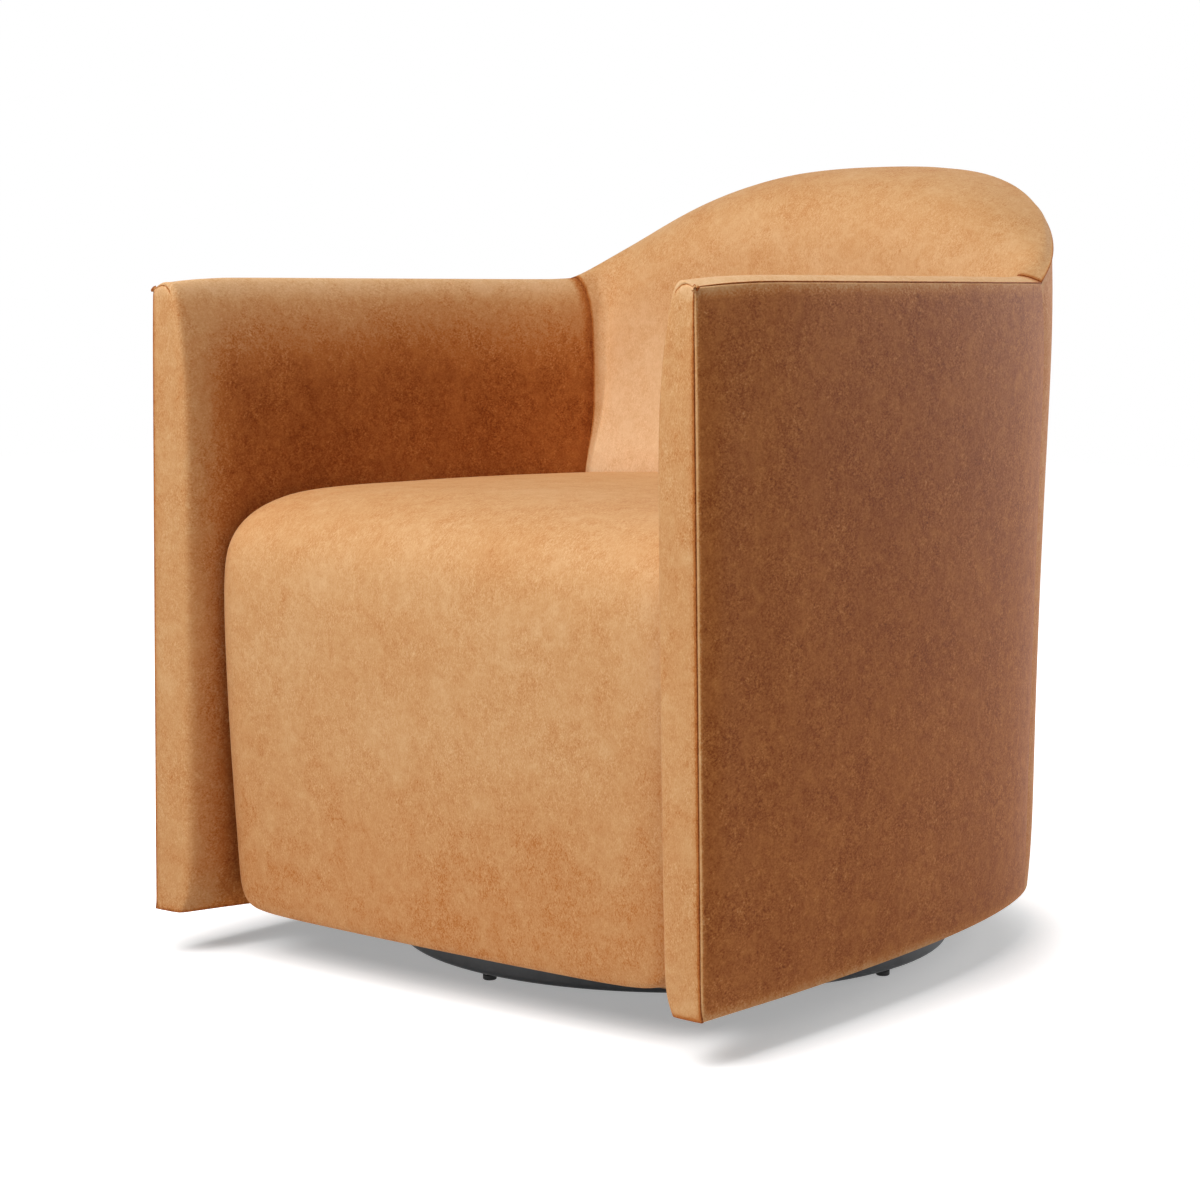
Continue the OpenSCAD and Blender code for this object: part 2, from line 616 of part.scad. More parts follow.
// Straps of the back, from the shelf's rear edge to the top rail
strap_low = rear_board_z + ply;
top_rail_drop = 20;
strap_lay = 4;
top_rail_z = arm_z - top_rail_drop;
function strap_y(z) = let (t = norm(rear_point(0, arm_z) - face_point(0, arm_z)))
    face_point(0, min(z, crest_height(0) - back_roll))[1] + foam_share * t + strap_lay;
module back_straps() {
    y0 = strap_y(strap_low);
    y1 = strap_y(top_rail_z);
    x0 = -(strap_n - 1) / 2 * strap_gap;
    color(strap_black) for (k = [0:strap_n - 1]) translate([x0 + k * strap_gap - strap_w / 2, 0, 0])
        rotate([90, 0, 90]) linear_extrude(strap_w)
            polygon([[y0, strap_low + lay], [y1, top_rail_z + ply],
                [y1 + strap_t, top_rail_z + ply], [y0 + strap_t, strap_low + lay]]);
}

// Strips of the shell's plan, for rails and boards
function strip(u0, u1, d0, d1, z, n) = concat([for (i = [0:n]) shell(mix(u0, u1, i / n), d0, z)],
    [for (i = [n:-1:0]) shell(mix(u0, u1, i / n), d1, z)]);
function both_sides(half) = concat(half,
    [for (i = [len(half) - 1:-1:0]) if (abs(half[i][0]) > 0.01) [-half[i][0], half[i][1]]]);
function shell_run(u0, u1, d, z, n) = [for (i = [0:n]) shell(mix(u0, u1, i / n), d, z)];
module slab(points, z, t) {
    translate([0, 0, z]) linear_extrude(t) polygon(points);
}

side_board_drop = 45;
side_board_u = 0.012;
board_rows = 4;
joint_u = 0.004;
module side_board() {
    us = [for (i = [0:shell_n]) mix(side_board_u, u_corner - joint_u, i / shell_n)];
    zs = [for (i = [0:board_rows]) mix(arm_z - side_board_drop, deck_z, i / board_rows)];
    color(board_brown) skin([for (u = us) [for (z = zs) shell3(u, board_d, z)]],
        [for (u = us) [for (z = zs) shell3(u, board_d + board_t, z)]]);
}
board_drop = 20;
module back_board() {
    half = [for (i = [0:shell_n - 1]) mix(u_corner + joint_u, 1, i / (shell_n - 1))];
    n = len(half);
    us = [for (i = [0:2 * n - 2]) i < n ? half[i] : half[2 * n - 2 - i]];
    function at(i, d, z) = i < n ? shell3(us[i], d, z) : flip(shell3(us[i], d, z));
    function top(u) = crest_height(ridge_share(u)) - panel_drop - board_drop;
    function row(i, d) = [for (k = [0:board_rows]) at(i, d, mix(top(us[i]), deck_z, k / board_rows))];
    color(board_brown) skin([for (i = [0:2 * n - 2]) row(i, board_d)],
        [for (i = [0:2 * n - 2]) row(i, board_d + board_t)]);
}

// Deck: follows the shell, with a recess in front between the arms
deck_front = -box_front_y;
deck_hole_r = 26;
deck_arm_front = 0.03;
deck_notch_u = (deck_notch_y + arm_front) / (arm_front - side_end) * side_share;
arm_deck_inset = 4;
arm_deck_d = frame_in - arm_deck_inset;
function deck_outline(inset = 0) = both_sides(concat(
    [[0, -deck_front + inset], [box_half_w - inset, -deck_front + inset],
        [box_half_w - inset, deck_notch_y + inset],
        [shell(deck_notch_u, arm_deck_d - inset, deck_z)[0], deck_notch_y + inset]],
    [shell(deck_arm_front + inset / 500, arm_deck_d - inset, deck_z)],
    shell_run(deck_arm_front + inset / 500, 1, frame_d + inset, deck_z, 3 * shell_n)));
module at_screws() {
    for (s = [-1, 1], x = [0.35, 0.85]) {
        translate([s * x * box_half_w, box_front_y + ply / 2, 0]) children();
        translate([s * x * box_rear_half_w, box_rear_y + ply / 2, 0]) children();
    }
}
screw_gap = 0.1;
screw_head_r = 4.5;
screw_head_h = 3;
module rod(r, z, h, sides = fine) {
    translate([0, 0, z]) cylinder(r = r, h = h, $fn = sides);
}
module deck() {
    color(birch) difference() {
        slab(deck_outline(), deck_z, ply);
        rod(deck_hole_r, deck_z - 1, ply + 2, smooth);
        at_plate_bolts(top_bolt_turn) rod(tee_r + 0.1, deck_z - 1, ply + 2);
        at_screws() screw_hole();
    }
}
module screw_hole() {
    rod(screw_r + screw_gap, deck_z - 1, screw_l + 2);
    rod(screw_head_r + screw_gap, deck_z - 1, screw_head_h + 1 + screw_gap);
}
module deck_screws() {
    color(zinc) at_screws() translate([0, 0, deck_z]) {
        cylinder(r = screw_r, h = screw_l, $fn = fine);
        cylinder(r = screw_head_r, h = screw_head_h, $fn = fine);
    }
}

module seat_front_board() {
    color(birch) difference() {
        translate([-box_half_w, box_front_y, deck_top]) cube([2 * box_half_w, ply, box_front_z - deck_top]);
        at_screws() screw_hole();
    }
}
module seat_rear_board() {
    color(birch) difference() {
        translate([-box_rear_half_w, box_rear_y, deck_top])
            cube([2 * box_rear_half_w, ply, rear_board_z - deck_top]);
        at_screws() screw_hole();
    }
}
module seat_side_boards() {
    color(birch) for (s = [-1, 1])
        translate([s * (box_rear_half_w - ply / 2 - 1) - ply / 2, box_front_in, deck_top])
            cube([ply, box_rear_y - box_front_in, box_side_z - deck_top]);
}
module corner_blocks() {
    x = box_rear_half_w - ply - 1;
    color(beech) for (sx = [-1, 1], sy = [-1, 1])
        translate([sx * x, sy < 0 ? box_front_in : box_rear_y, deck_top])
            linear_extrude(block_h) polygon([[0, 0], [-sx * block_leg, 0], [0, -sy * block_leg]]);
}

// Shelf under the back's foam, from the rear board to the back posts
shelf_half_w = box_rear_half_w;
post_out_d = frame_d + rail_w + post_gap;
shelf_u = u_corner + 0.16;
function shelf_outline() = both_sides(concat([[0, box_rear_y], [shelf_half_w, box_rear_y]],
    [for (p = shell_run(shelf_u, 1, post_out_d + post_w + lay, rear_board_z, shell_n))
        if (p[0] < shelf_half_w) p]));
module back_shelf() {
    color(birch) slab(shelf_outline(), rear_board_z, ply);
}

// Posts lean with the shell and are cut level between the deck and the rails
rail_drop = 57;
arm_rail_z = arm_z - rail_drop - ply;
module post(u, d, w, t, z1) {
    p = shell(u, d, deck_top);
    n = outward(u);
    intersection() {
        translate([p[0], p[1], deck_top]) rotate([0, 0, atan2(n[1], n[0])])
            rotate([0, atan(flare(u, 1) / shell_h), 0]) translate([-t, -w / 2, -ply])
                cube([t, w, z1 - deck_top + 2 * ply]);
        translate([-2 * side_half_w, -2 * side_half_w, deck_top])
            cube([4 * side_half_w, 4 * side_half_w, z1 - deck_top]);
    }
}
module left_and_right() {
    children();
    mirror([1, 0, 0]) children();
}
front_post_u = 0.075;
corner_post_u = u_corner - 0.03;
back_post_u = 0.87;
module front_posts() {
    color(birch) left_and_right() post(front_post_u, frame_d + post_inset, post_w, post_t, arm_rail_z);
}
module corner_posts() {
    color(birch) left_and_right()
        post(corner_post_u, frame_d + post_inset, post_w, post_t - rail_inset, arm_rail_z);
}
module back_posts() {
    color(birch) left_and_right() post(back_post_u, post_out_d, ply, post_w, top_rail_z);
}
arm_rail_u = 0.035;
rail_inset = 5.5;
module arm_rail() {
    run = strip(arm_rail_u, u_corner - joint_u, frame_d, frame_in - rail_inset, arm_rail_z, shell_n);
    color(birch) slab(run, arm_rail_z, ply);
}
module back_mid_rail() {
    run = both_sides_strip(u_corner + joint_u, frame_d, frame_d + rail_w, arm_rail_z);
    color(birch) slab(run, arm_rail_z, ply);
}
function both_sides_strip(u0, d0, d1, z) =
    let (a = shell_run(u0, 1, d0, z, 2 * shell_n), b = shell_run(u0, 1, d1, z, 2 * shell_n))
    concat(a, [for (i = [len(a) - 2:-1:0]) [-a[i][0], a[i][1]]],
        [for (i = [0:len(b) - 1]) [-b[i][0], b[i][1]]], [for (i = [len(b) - 2:-1:0]) b[i]]);
top_rail_u = 0.8;
top_rail_inset = 4;
module back_top_rail() {
    y = strap_y(top_rail_z) + strap_t + lay;
    half = shell_run(top_rail_u, 1, frame_d + top_rail_inset, top_rail_z, shell_n);
    color(birch) slab(both_sides(concat([[0, y], [half[0][0], y]], half)), top_rail_z, ply);
}

dust_inset = 3;
dust_hole_r = plate_side * 0.72;
module dust_cover() {
    color(dust_black) difference() {
        slab(deck_outline(dust_inset), deck_z - dust_t, dust_t);
        rod(dust_hole_r, deck_z - dust_t - 1, dust_t + 2, smooth);
    }
}

// Swivel: two plates with ball grooves, the balls in their cage, and a pivot bolt
top_plate_z = deck_z - plate_t;
ball_z = top_plate_z + groove_d + ball_gap - ball_r;
bottom_plate_top = ball_z - ball_r - ball_gap + groove_d;
bottom_plate_z = bottom_plate_top - plate_t;
base_plate_z = bottom_plate_z - plate_t;
cross_z = base_plate_z - cross_h;
top_bolt_turn = 0;
bottom_bolt_turn = base_turn;
plate_edge = 12;
module at_plate_bolts(turn) {
    at = plate_side / 2 - bolt_inset;
    rotate([0, 0, turn]) for (x = [-at, at], y = [-at, at]) translate([x, y, 0]) children();
}
module square_plate(z, turn) {
    c = plate_side / 2 - plate_edge;
    rotate([0, 0, turn]) translate([0, 0, z]) linear_extrude(plate_t) union() {
        square([plate_side, 2 * c], center = true);
        square([2 * c, plate_side], center = true);
        for (x = [-c, c], y = [-c, c]) translate([x, y]) circle(r = plate_edge, $fn = fine);
    }
}
module ball_groove() {
    translate([0, 0, ball_z]) rotate_extrude($fn = smooth)
        translate([track_r, 0]) circle(r = ball_r + ball_gap, $fn = fine);
}
bolt_hole_gap = 0.2;
bush_r = pivot_r + pivot_gap + bush_wall;
bush_flange_w = 5;
bush_flange_r = bush_r + bush_flange_w;
bush_fit = 0.05;
tee_wall = 1.5;
tee_r = bolt_r + tee_wall;
tee_flange_w = 5;
tee_flange_t = 1.5;
tee_inset = 4;
thread_gap = 0.08;
bolt_head_share = 1.8;
module swivel_top_plate() {
    color(zinc) difference() {
        square_plate(top_plate_z, top_bolt_turn);
        ball_groove();
        rod(bush_r + bush_fit, top_plate_z - 1, plate_t + 2, smooth);
        at_plate_bolts(top_bolt_turn) rod(bolt_r + bolt_hole_gap, top_plate_z - 1, plate_t + 2);
    }
}
module top_plate_bolts() {
    color(zinc) at_plate_bolts(top_bolt_turn) {
        rod(bolt_r, top_plate_z, ply + plate_t);
        rod(bolt_head_share * bolt_r, top_plate_z - bolt_head_h, bolt_head_h);
    }
}
module tee_nuts() {
    color(zinc) at_plate_bolts(top_bolt_turn) difference() {
        union() {
            rod(tee_r, deck_z + tee_inset, ply - tee_inset);
            rod(tee_r + tee_flange_w, deck_top, tee_flange_t);
        }
        rod(bolt_r + thread_gap, deck_z, ply + 4);
    }
}
module pivot_bush() {
    color(nylon_white) difference() {
        union() {
            rod(bush_flange_r, bottom_plate_top + lay, top_plate_z - bottom_plate_top - lay, smooth);
            rod(bush_r, top_plate_z, plate_t + 1, smooth);
        }
        rod(pivot_r + pivot_gap, bottom_plate_top, 3 * plate_t + cross_h, smooth);
    }
}
pivot_head_r = 14;
pivot_head_h = 3.6;
pivot_nut_r = 13;
pivot_nut_h = 9;
pivot_washer_r = 17;
pivot_washer_h = 2;
pivot_nut_z = deck_z + 1 + lay;
module pivot_bolt() {
    color(zinc) {
        rod(pivot_r, cross_z, pivot_nut_z + pivot_washer_h + pivot_nut_h - cross_z, smooth);
        rod(pivot_head_r, cross_z - pivot_head_h, pivot_head_h, smooth);
    }
}
module pivot_nut() {
    color(zinc) difference() {
        union() {
            rod(pivot_washer_r, pivot_nut_z, pivot_washer_h, smooth);
            rod(pivot_nut_r, pivot_nut_z + pivot_washer_h, pivot_nut_h, 6);
        }
        rod(pivot_r + thread_gap, pivot_nut_z - 1, pivot_nut_h + pivot_washer_h + 2, smooth);
    }
}
module swivel_bottom_plate() {
    color(zinc) difference() {
        square_plate(bottom_plate_z, bottom_bolt_turn);
        ball_groove();
        rod(pivot_r + bolt_hole_gap, bottom_plate_z - 1, plate_t + 2, smooth);
        at_plate_bolts(bottom_bolt_turn) rod(bolt_r + bolt_hole_gap, bottom_plate_z - 1, plate_t + 2);
    }
}
module bearing_cage() {
    w = ball_r + 4;
    color(nylon_white) difference() {
        rod(track_r + w, ball_z - cage_t / 2, cage_t, smooth);
        rod(track_r - w, ball_z - cage_t, 2 * cage_t, smooth);
        at_balls() rod(ball_r + ball_gap, -cage_t, 2 * cage_t);
    }
}
module at_balls() {
    for (k = [0:ball_n - 1]) rotate([0, 0, 360 * k / ball_n]) translate([track_r, 0, ball_z]) children();
}
module bearing_balls() {
    color(spring_steel) at_balls() sphere(r = ball_r, $fn = fine);
}

// Base: a ring of square tube with a cross of tubes that carries the swivel
module base_ring() {
    r0 = ring_r - ring_w;
    c = ring_edge;
    color(base_black) difference() {
        rotate_extrude($fn = 2 * smooth) difference() {
            union() {
                translate([r0, ring_z + c]) square([ring_w, ring_h - 2 * c]);
                translate([r0 + c, ring_z]) square([ring_w - 2 * c, ring_h]);
                for (x = [r0 + c, ring_r - c], y = [ring_z + c, ring_z + ring_h - c])
                    translate([x, y]) circle(r = c, $fn = fine);
            }
            translate([r0 + tube_wall, ring_z + tube_wall])
                square([ring_w - 2 * tube_wall, ring_h - 2 * tube_wall]);
        }
        at_glides() rod(stud_r + ball_gap, ring_z - 1, tube_wall + 2);
    }
}
glide_r = ring_r - ring_w / 2;
module at_glide(k) {
    rotate([0, 0, base_turn + 90 * k]) translate([glide_r, 0, 0]) children();
}
module at_glides() {
    for (k = [0:3]) at_glide(k) children();
}
weld = 0.05;
module base_cross() {
    l = 2 * (ring_r - ring_w);
    color(base_black) difference() {
        intersection() {
            rotate([0, 0, base_turn]) translate([0, 0, cross_z]) difference() {
                for (a = [0, 90]) rotate([0, 0, a])
                    translate([-l / 2, -cross_w / 2, 0]) cube([l, cross_w, cross_h]);
                for (a = [0, 90]) rotate([0, 0, a]) translate([-l, -cross_w / 2 + tube_wall, tube_wall])
                    cube([2 * l, cross_w - 2 * tube_wall, cross_h - 2 * tube_wall]);
            }
            rod(l / 2 - weld, cross_z, cross_h, 2 * smooth);
        }
        rod(pivot_r + bolt_hole_gap, cross_z - 1, cross_h + 2, smooth);
    }
}
module base_plate() {
    color(base_black) difference() {
        square_plate(base_plate_z, bottom_bolt_turn);
        rod(pivot_r + bolt_hole_gap, base_plate_z - 1, plate_t + 2, smooth);
        at_plate_bolts(bottom_bolt_turn) rod(bolt_r + bolt_hole_gap, base_plate_z - 1, plate_t + 2);
    }
}
base_bolt_l = 8;
base_nut_h = 5;
nut_share = 1.9;
module base_bolts() {
    color(zinc) at_plate_bolts(bottom_bolt_turn) {
        rod(bolt_r, base_plate_z - base_bolt_l, base_bolt_l + 2 * plate_t);
        rod(bolt_head_share * bolt_r, bottom_plate_top, bolt_head_h);
    }
}
module base_nuts() {
    color(zinc) at_plate_bolts(bottom_bolt_turn) difference() {
        rod(nut_share * bolt_r, base_plate_z - base_nut_h, base_nut_h, 6);
        rod(bolt_r + thread_gap, base_plate_z - base_nut_h - 1, base_nut_h + 2);
    }
}

// Levelling glides: a pad moulded on the flange of a threaded stud, in a nut welded in the ring
flange_h = ring_z - pad_h - lay;
flange_inset = 0.8;
module glide_nuts() {
    color(zinc) at_glides() difference() {
        rod(nut_share * stud_r, ring_z + tube_wall, glide_nut_h, 6);
        rod(stud_r + thread_gap, ring_z, glide_nut_h + 2 * tube_wall);
    }
}
module glide_stud() {
    color(zinc) {
        rod(pad_r - flange_inset, pad_h, flange_h);
        rod(stud_r, pad_h, flange_h + stud_l);
    }
}
pad_edge = 0.8;
module glide_pad() {
    c = pad_edge;
    color(pad_black) rotate_extrude($fn = 2 * fine)
        polygon([[0, 0], [pad_r - c, 0], [pad_r, c], [pad_r, pad_h - c], [pad_r - c, pad_h], [0, pad_h]]);
}

seat_cover();
color(tan_leather) inside_back_cover();
color(shade_leather) outside_back_cover();
color(tan_leather) inside_arm_cover();  // inside_arm_cover_left
color(tan_leather) mirror([1, 0, 0]) inside_arm_cover();  // inside_arm_cover_right
color(shade_leather) outside_arm_cover();  // outside_arm_cover_left
color(shade_leather) mirror([1, 0, 0]) outside_arm_cover();  // outside_arm_cover_right
seat_foam();
color(foam_cream) back_foam();
color(foam_cream) arm_foam();  // arm_foam_left
color(foam_cream) mirror([1, 0, 0]) arm_foam();  // arm_foam_right
spring_felt();
seat_springs();
spring_clips();
back_straps();
dust_cover();
side_board();  // side_board_left
mirror([1, 0, 0]) side_board();  // side_board_right
back_board();
deck();
seat_front_board();
seat_rear_board();
seat_side_boards();
back_shelf();
corner_blocks();
arm_rail();  // arm_rail_left
mirror([1, 0, 0]) arm_rail();  // arm_rail_right
back_mid_rail();
back_top_rail();
front_posts();
corner_posts();
back_posts();
deck_screws();
swivel_top_plate();
top_plate_bolts();
tee_nuts();
pivot_bush();
base_ring();
base_cross();
base_plate();
swivel_bottom_plate();
base_bolts();
base_nuts();
pivot_bolt();
pivot_nut();
bearing_cage();
bearing_balls();
glide_nuts();
at_glide(0) glide_stud();  // glide_stud_1
at_glide(1) glide_stud();  // glide_stud_2
at_glide(2) glide_stud();  // glide_stud_3
at_glide(3) glide_stud();  // glide_stud_4
at_glide(0) glide_pad();  // glide_pad_1
at_glide(1) glide_pad();  // glide_pad_2
at_glide(2) glide_pad();  // glide_pad_3
at_glide(3) glide_pad();  // glide_pad_4
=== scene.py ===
from math import pi, radians, sin

import bmesh
import bpy
from mathutils import Matrix, Vector


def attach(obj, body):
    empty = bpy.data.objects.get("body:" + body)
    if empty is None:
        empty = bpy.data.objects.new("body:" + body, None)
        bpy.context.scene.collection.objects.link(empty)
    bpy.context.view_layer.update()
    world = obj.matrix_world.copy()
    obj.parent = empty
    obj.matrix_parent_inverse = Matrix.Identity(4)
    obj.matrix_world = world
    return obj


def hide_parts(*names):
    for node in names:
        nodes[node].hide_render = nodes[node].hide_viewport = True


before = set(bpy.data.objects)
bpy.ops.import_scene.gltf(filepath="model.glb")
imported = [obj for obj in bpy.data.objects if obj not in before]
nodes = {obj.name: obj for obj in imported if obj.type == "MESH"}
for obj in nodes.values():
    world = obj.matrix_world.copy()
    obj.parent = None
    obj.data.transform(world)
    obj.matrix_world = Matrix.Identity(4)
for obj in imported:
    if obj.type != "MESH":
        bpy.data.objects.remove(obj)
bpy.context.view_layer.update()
scene = bpy.context.scene

# The view: a long lens a little above the arms, from the chair's front and its left.
camera = bpy.data.objects.new("camera", bpy.data.cameras.new("camera"))
scene.collection.objects.link(camera)
scene.camera = camera
camera.data.sensor_width = 36
camera.data.lens = 82.5
camera.location = (1.6671, -2.1401, 0.6378)
camera.rotation_euler = (radians(83.638), 0, radians(39.4687))
scene.view_settings.view_transform = "Standard"


# The studio: a white sweep that shows white all round and takes only the chair's soft grey shadow. Large
# soft boxes light the chair from ahead and from overhead, with a weak one at its left side, one low behind
# it, and a little light from the room.
def linear(code):
    """Turns an sRGB hex colour into the linear numbers that a shader takes."""
    channels = [int(code[k:k + 2], 16) / 255 for k in (1, 3, 5)]
    return tuple(c / 12.92 if c <= 0.04045 else ((c + 0.055) / 1.055) ** 2.4 for c in channels) + (1,)


def add_node(tree, kind, settings=None, stops=(), **links):
    """Adds a shader node with its settings; links or sets its inputs by name, or by place as i0, i1.

    A colour ramp's stops are pairs of a position and an sRGB hex colour.
    """
    made = tree.nodes.new("ShaderNode" + kind)
    for name, value in (settings or {}).items():
        setattr(made, name, value)
    if stops:
        ramp = made.color_ramp.elements
        ramp[0].position, ramp[1].position = stops[0][0], stops[-1][0]
        for position, code in stops[1:-1]:
            ramp.new(position)
        for stop, (position, code) in zip(ramp, stops):
            stop.color = linear(code)
    for name, value in links.items():
        socket = made.inputs[int(name[1:])] if name[1:].isdigit() else made.inputs[name.replace("_", " ")]
        if isinstance(value, bpy.types.NodeSocket):
            tree.links.new(value, socket)
        else:
            socket.default_value = value
    return made


def new_material(name):
    """A material with an empty node tree."""
    made = bpy.data.materials.new(name)
    made.use_nodes = True
    made.node_tree.nodes.clear()
    return made, made.node_tree


def seen_directly(tree):
    """1 for the rays that show a backdrop: the camera's, and those of metal and glass."""
    path = add_node(tree, "LightPath")
    most = {"operation": "MAXIMUM"}
    shown = add_node(tree, "Math", most, i0=path.outputs["Is Camera Ray"],
                     i1=path.outputs["Is Glossy Ray"])
    through = path.outputs["Is Transmission Ray"]
    return add_node(tree, "Math", most, i0=shown.outputs[0], i1=through).outputs[0]


# The sweep is white all round and turns to lit paper within these metres of the chair's middle, to the side
# and ahead, so that the shadow shows and fades out over a short reach.
SWEEP_SIDE = 14.0
SWEEP_GLOW = 0.34
SHADOW_SIDE = 0.315
SHADOW_FRONT = 0.322
SHADOW_REACH = (0.0, 0.15)
white_sweep, tree = new_material("white_sweep")
place = add_node(tree, "SeparateXYZ", Vector=add_node(tree, "TexCoord").outputs["Object"])
behind = add_node(tree, "Math", {"operation": "MAXIMUM"}, i0=place.outputs[1], i1=0.0).outputs[0]
beside = add_node(tree, "CombineXYZ", X=place.outputs[0], Y=behind).outputs[0]
beside = add_node(tree, "VectorMath", {"operation": "LENGTH"}, i0=beside).outputs["Value"]
beside = add_node(tree, "Math", {"operation": "SUBTRACT"}, i0=beside, i1=SHADOW_SIDE).outputs[0]
ahead = add_node(tree, "Math", {"operation": "SUBTRACT"}, i0=-SHADOW_FRONT,
                 i1=place.outputs[1]).outputs[0]
outside = add_node(tree, "CombineXYZ", X=beside, Y=ahead).outputs[0]
outside = add_node(tree, "VectorMath", {"operation": "MAXIMUM"}, i0=outside, i1=(0, 0, 0)).outputs[0]
away = add_node(tree, "VectorMath", {"operation": "LENGTH"}, i0=outside).outputs["Value"]
glow = add_node(tree, "MapRange", {"interpolation_type": "SMOOTHSTEP"}, i0=away,
                i1=SHADOW_REACH[0], i2=SHADOW_REACH[1], i3=SWEEP_GLOW, i4=1.0).outputs[0]
paper = add_node(tree, "BsdfDiffuse", Color=linear("#efefef"))
lit = add_node(tree, "Emission", Color=(1, 1, 1, 1), Strength=glow)
both = add_node(tree, "AddShader", i0=paper.outputs[0], i1=lit.outputs[0])
picked = add_node(tree, "MixShader", i0=seen_directly(tree), i1=paper.outputs[0], i2=both.outputs[0])
add_node(tree, "OutputMaterial", Surface=picked.outputs[0])

bm = bmesh.new()
bmesh.ops.create_grid(bm, x_segments=2, y_segments=2, size=SWEEP_SIDE / 2)
floor = bpy.data.objects.new("floor", bpy.data.meshes.new("floor"))
bm.to_mesh(floor.data)
bm.free()
floor.data.materials.append(white_sweep)
scene.collection.objects.link(floor)

ROOM_LIGHT = 0.03
world = bpy.data.worlds.new("studio")
scene.world = world
world.use_nodes = True
tree = world.node_tree
tree.nodes.clear()
room = add_node(tree, "Background", Color=linear("#fbfbff"), Strength=ROOM_LIGHT)
white = add_node(tree, "Background", Color=(1, 1, 1, 1), Strength=1.0)
picked = add_node(tree, "MixShader", i0=seen_directly(tree), i1=room.outputs[0], i2=white.outputs[0])
add_node(tree, "OutputWorld", Surface=picked.outputs[0])

SOFT_BOXES = {
    "front_box": ((-0.1, -2.9, 2.6), (2.0, 1.6), 68),
    "top_box": ((0, -1.3, 3.2), (2.2, 2.2), 61),
    "side_box": ((3.1, 0.3, 1.7), (1.8, 1.8), 7),
    "rear_box": ((1.1, 3.0, 1.1), (1.5, 1.5), 45),
}
AIM = Vector((0, 0, 0.35))
for name, (place, sides, watts) in SOFT_BOXES.items():
    lamp = bpy.data.objects.new(name, bpy.data.lights.new(name, "AREA"))
    lamp.data.shape = "RECTANGLE"
    lamp.data.size, lamp.data.size_y = sides
    lamp.data.energy = watts
    lamp.location = place
    lamp.rotation_euler = (AIM - Vector(place)).to_track_quat("-Z", "Y").to_euler()
    scene.collection.objects.link(lamp)


# The base: a ring and a cross of rectangular steel tube with a plate on top, welded together and then
# powder-coated black. The coat shows an even satin skin with a fine orange peel, greyer where it is thin.
PEEL_MM = 1.6
CLOUD_MM = 40
powder_coat, tree = new_material("satin_black_powder_coat")
place = add_node(tree, "TexCoord").outputs["Object"]
peel = add_node(tree, "TexNoise", Vector=place, Scale=1000 / PEEL_MM, Detail=1.0).outputs[0]
thin = add_node(tree, "TexNoise", Vector=place, Scale=1000 / CLOUD_MM, Detail=4.0,
                Roughness=0.6).outputs[0]
coat = add_node(tree, "ValToRGB", stops=((0.35, "#3b3e42"), (0.7, "#53575b")), Fac=thin)
relief = add_node(tree, "Bump", Height=peel, Strength=0.25, Distance=0.0003)
rough = add_node(tree, "MapRange", i0=thin, i1=0.3, i2=0.7, i3=0.36, i4=0.48).outputs[0]
skin = add_node(tree, "BsdfPrincipled", Base_Color=coat.outputs[0], Roughness=rough,
                Normal=relief.outputs[0])
skin.inputs["Specular IOR Level"].default_value = 0.5
add_node(tree, "OutputMaterial", Surface=skin.outputs[0])


def finish_nodes(material, names):
    """Gives CAD pieces their finish; their meshes stay as they are."""
    for name in names.split():
        mesh = nodes[name].data
        mesh.materials.clear()
        mesh.materials.append(material)


def new_piece(name, bm, material):
    """Makes a smooth-shaded piece of a bmesh."""
    piece = bpy.data.objects.new(name, bpy.data.meshes.new(name))
    bm.to_mesh(piece.data)
    bm.free()
    piece.data.materials.append(material)
    piece.data.polygons.foreach_set("use_smooth", [True] * len(piece.data.polygons))
    scene.collection.objects.link(piece)
    return piece


finish_nodes(powder_coat, "base_ring base_cross base_plate")

# Fillet welds run across the top and down both sides of each cross tube, where it meets the ring. A bead is
# a row of overlapping drops of weld metal, under the same powder coat.
RING_IN = 0.249
CROSS_TOP = 0.0312
CROSS_LOW = 0.0112
CROSS_HALF = 0.020
BEAD_R = 0.0021
BEAD_STEP = 0.0022
BEAD_FLAT = 0.8
BEAD_IN = 0.0006
BEAD_SWAY = 0.0002
BASE_TURN = -3
bm = bmesh.new()
across = int(2 * CROSS_HALF / BEAD_STEP)
down = int((CROSS_TOP - CROSS_LOW) / BEAD_STEP)
for arm in range(4):
    turn = Matrix.Rotation(radians(BASE_TURN + 90 * arm), 4, "Z")
    spots = [(-CROSS_HALF + k * 2 * CROSS_HALF / across, CROSS_TOP) for k in range(across + 1)]
    for side in (-CROSS_HALF, CROSS_HALF):
        spots += [(side, CROSS_TOP - k * (CROSS_TOP - CROSS_LOW) / down) for k in range(1, down + 1)]
    for k, (y, z) in enumerate(spots):
        at = turn @ Matrix.Translation((RING_IN - BEAD_IN, y + BEAD_SWAY * sin(7 * k), z))
        flat = Matrix.Diagonal((1.0, 1.0, BEAD_FLAT, 1.0))
        bmesh.ops.create_icosphere(bm, subdivisions=1, radius=BEAD_R, matrix=at @ flat)
welds = new_piece("ring_welds", bm, powder_coat)
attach(welds, "base")


# The glides: black nylon pads moulded on zinc-plated threaded studs, in nuts welded inside the ring.
# Nylon is matt with a faint flow pattern; zinc plate is a cool grey metal with soft spangles.
FLOW_MM = 6
GRAIN_MM = 0.7


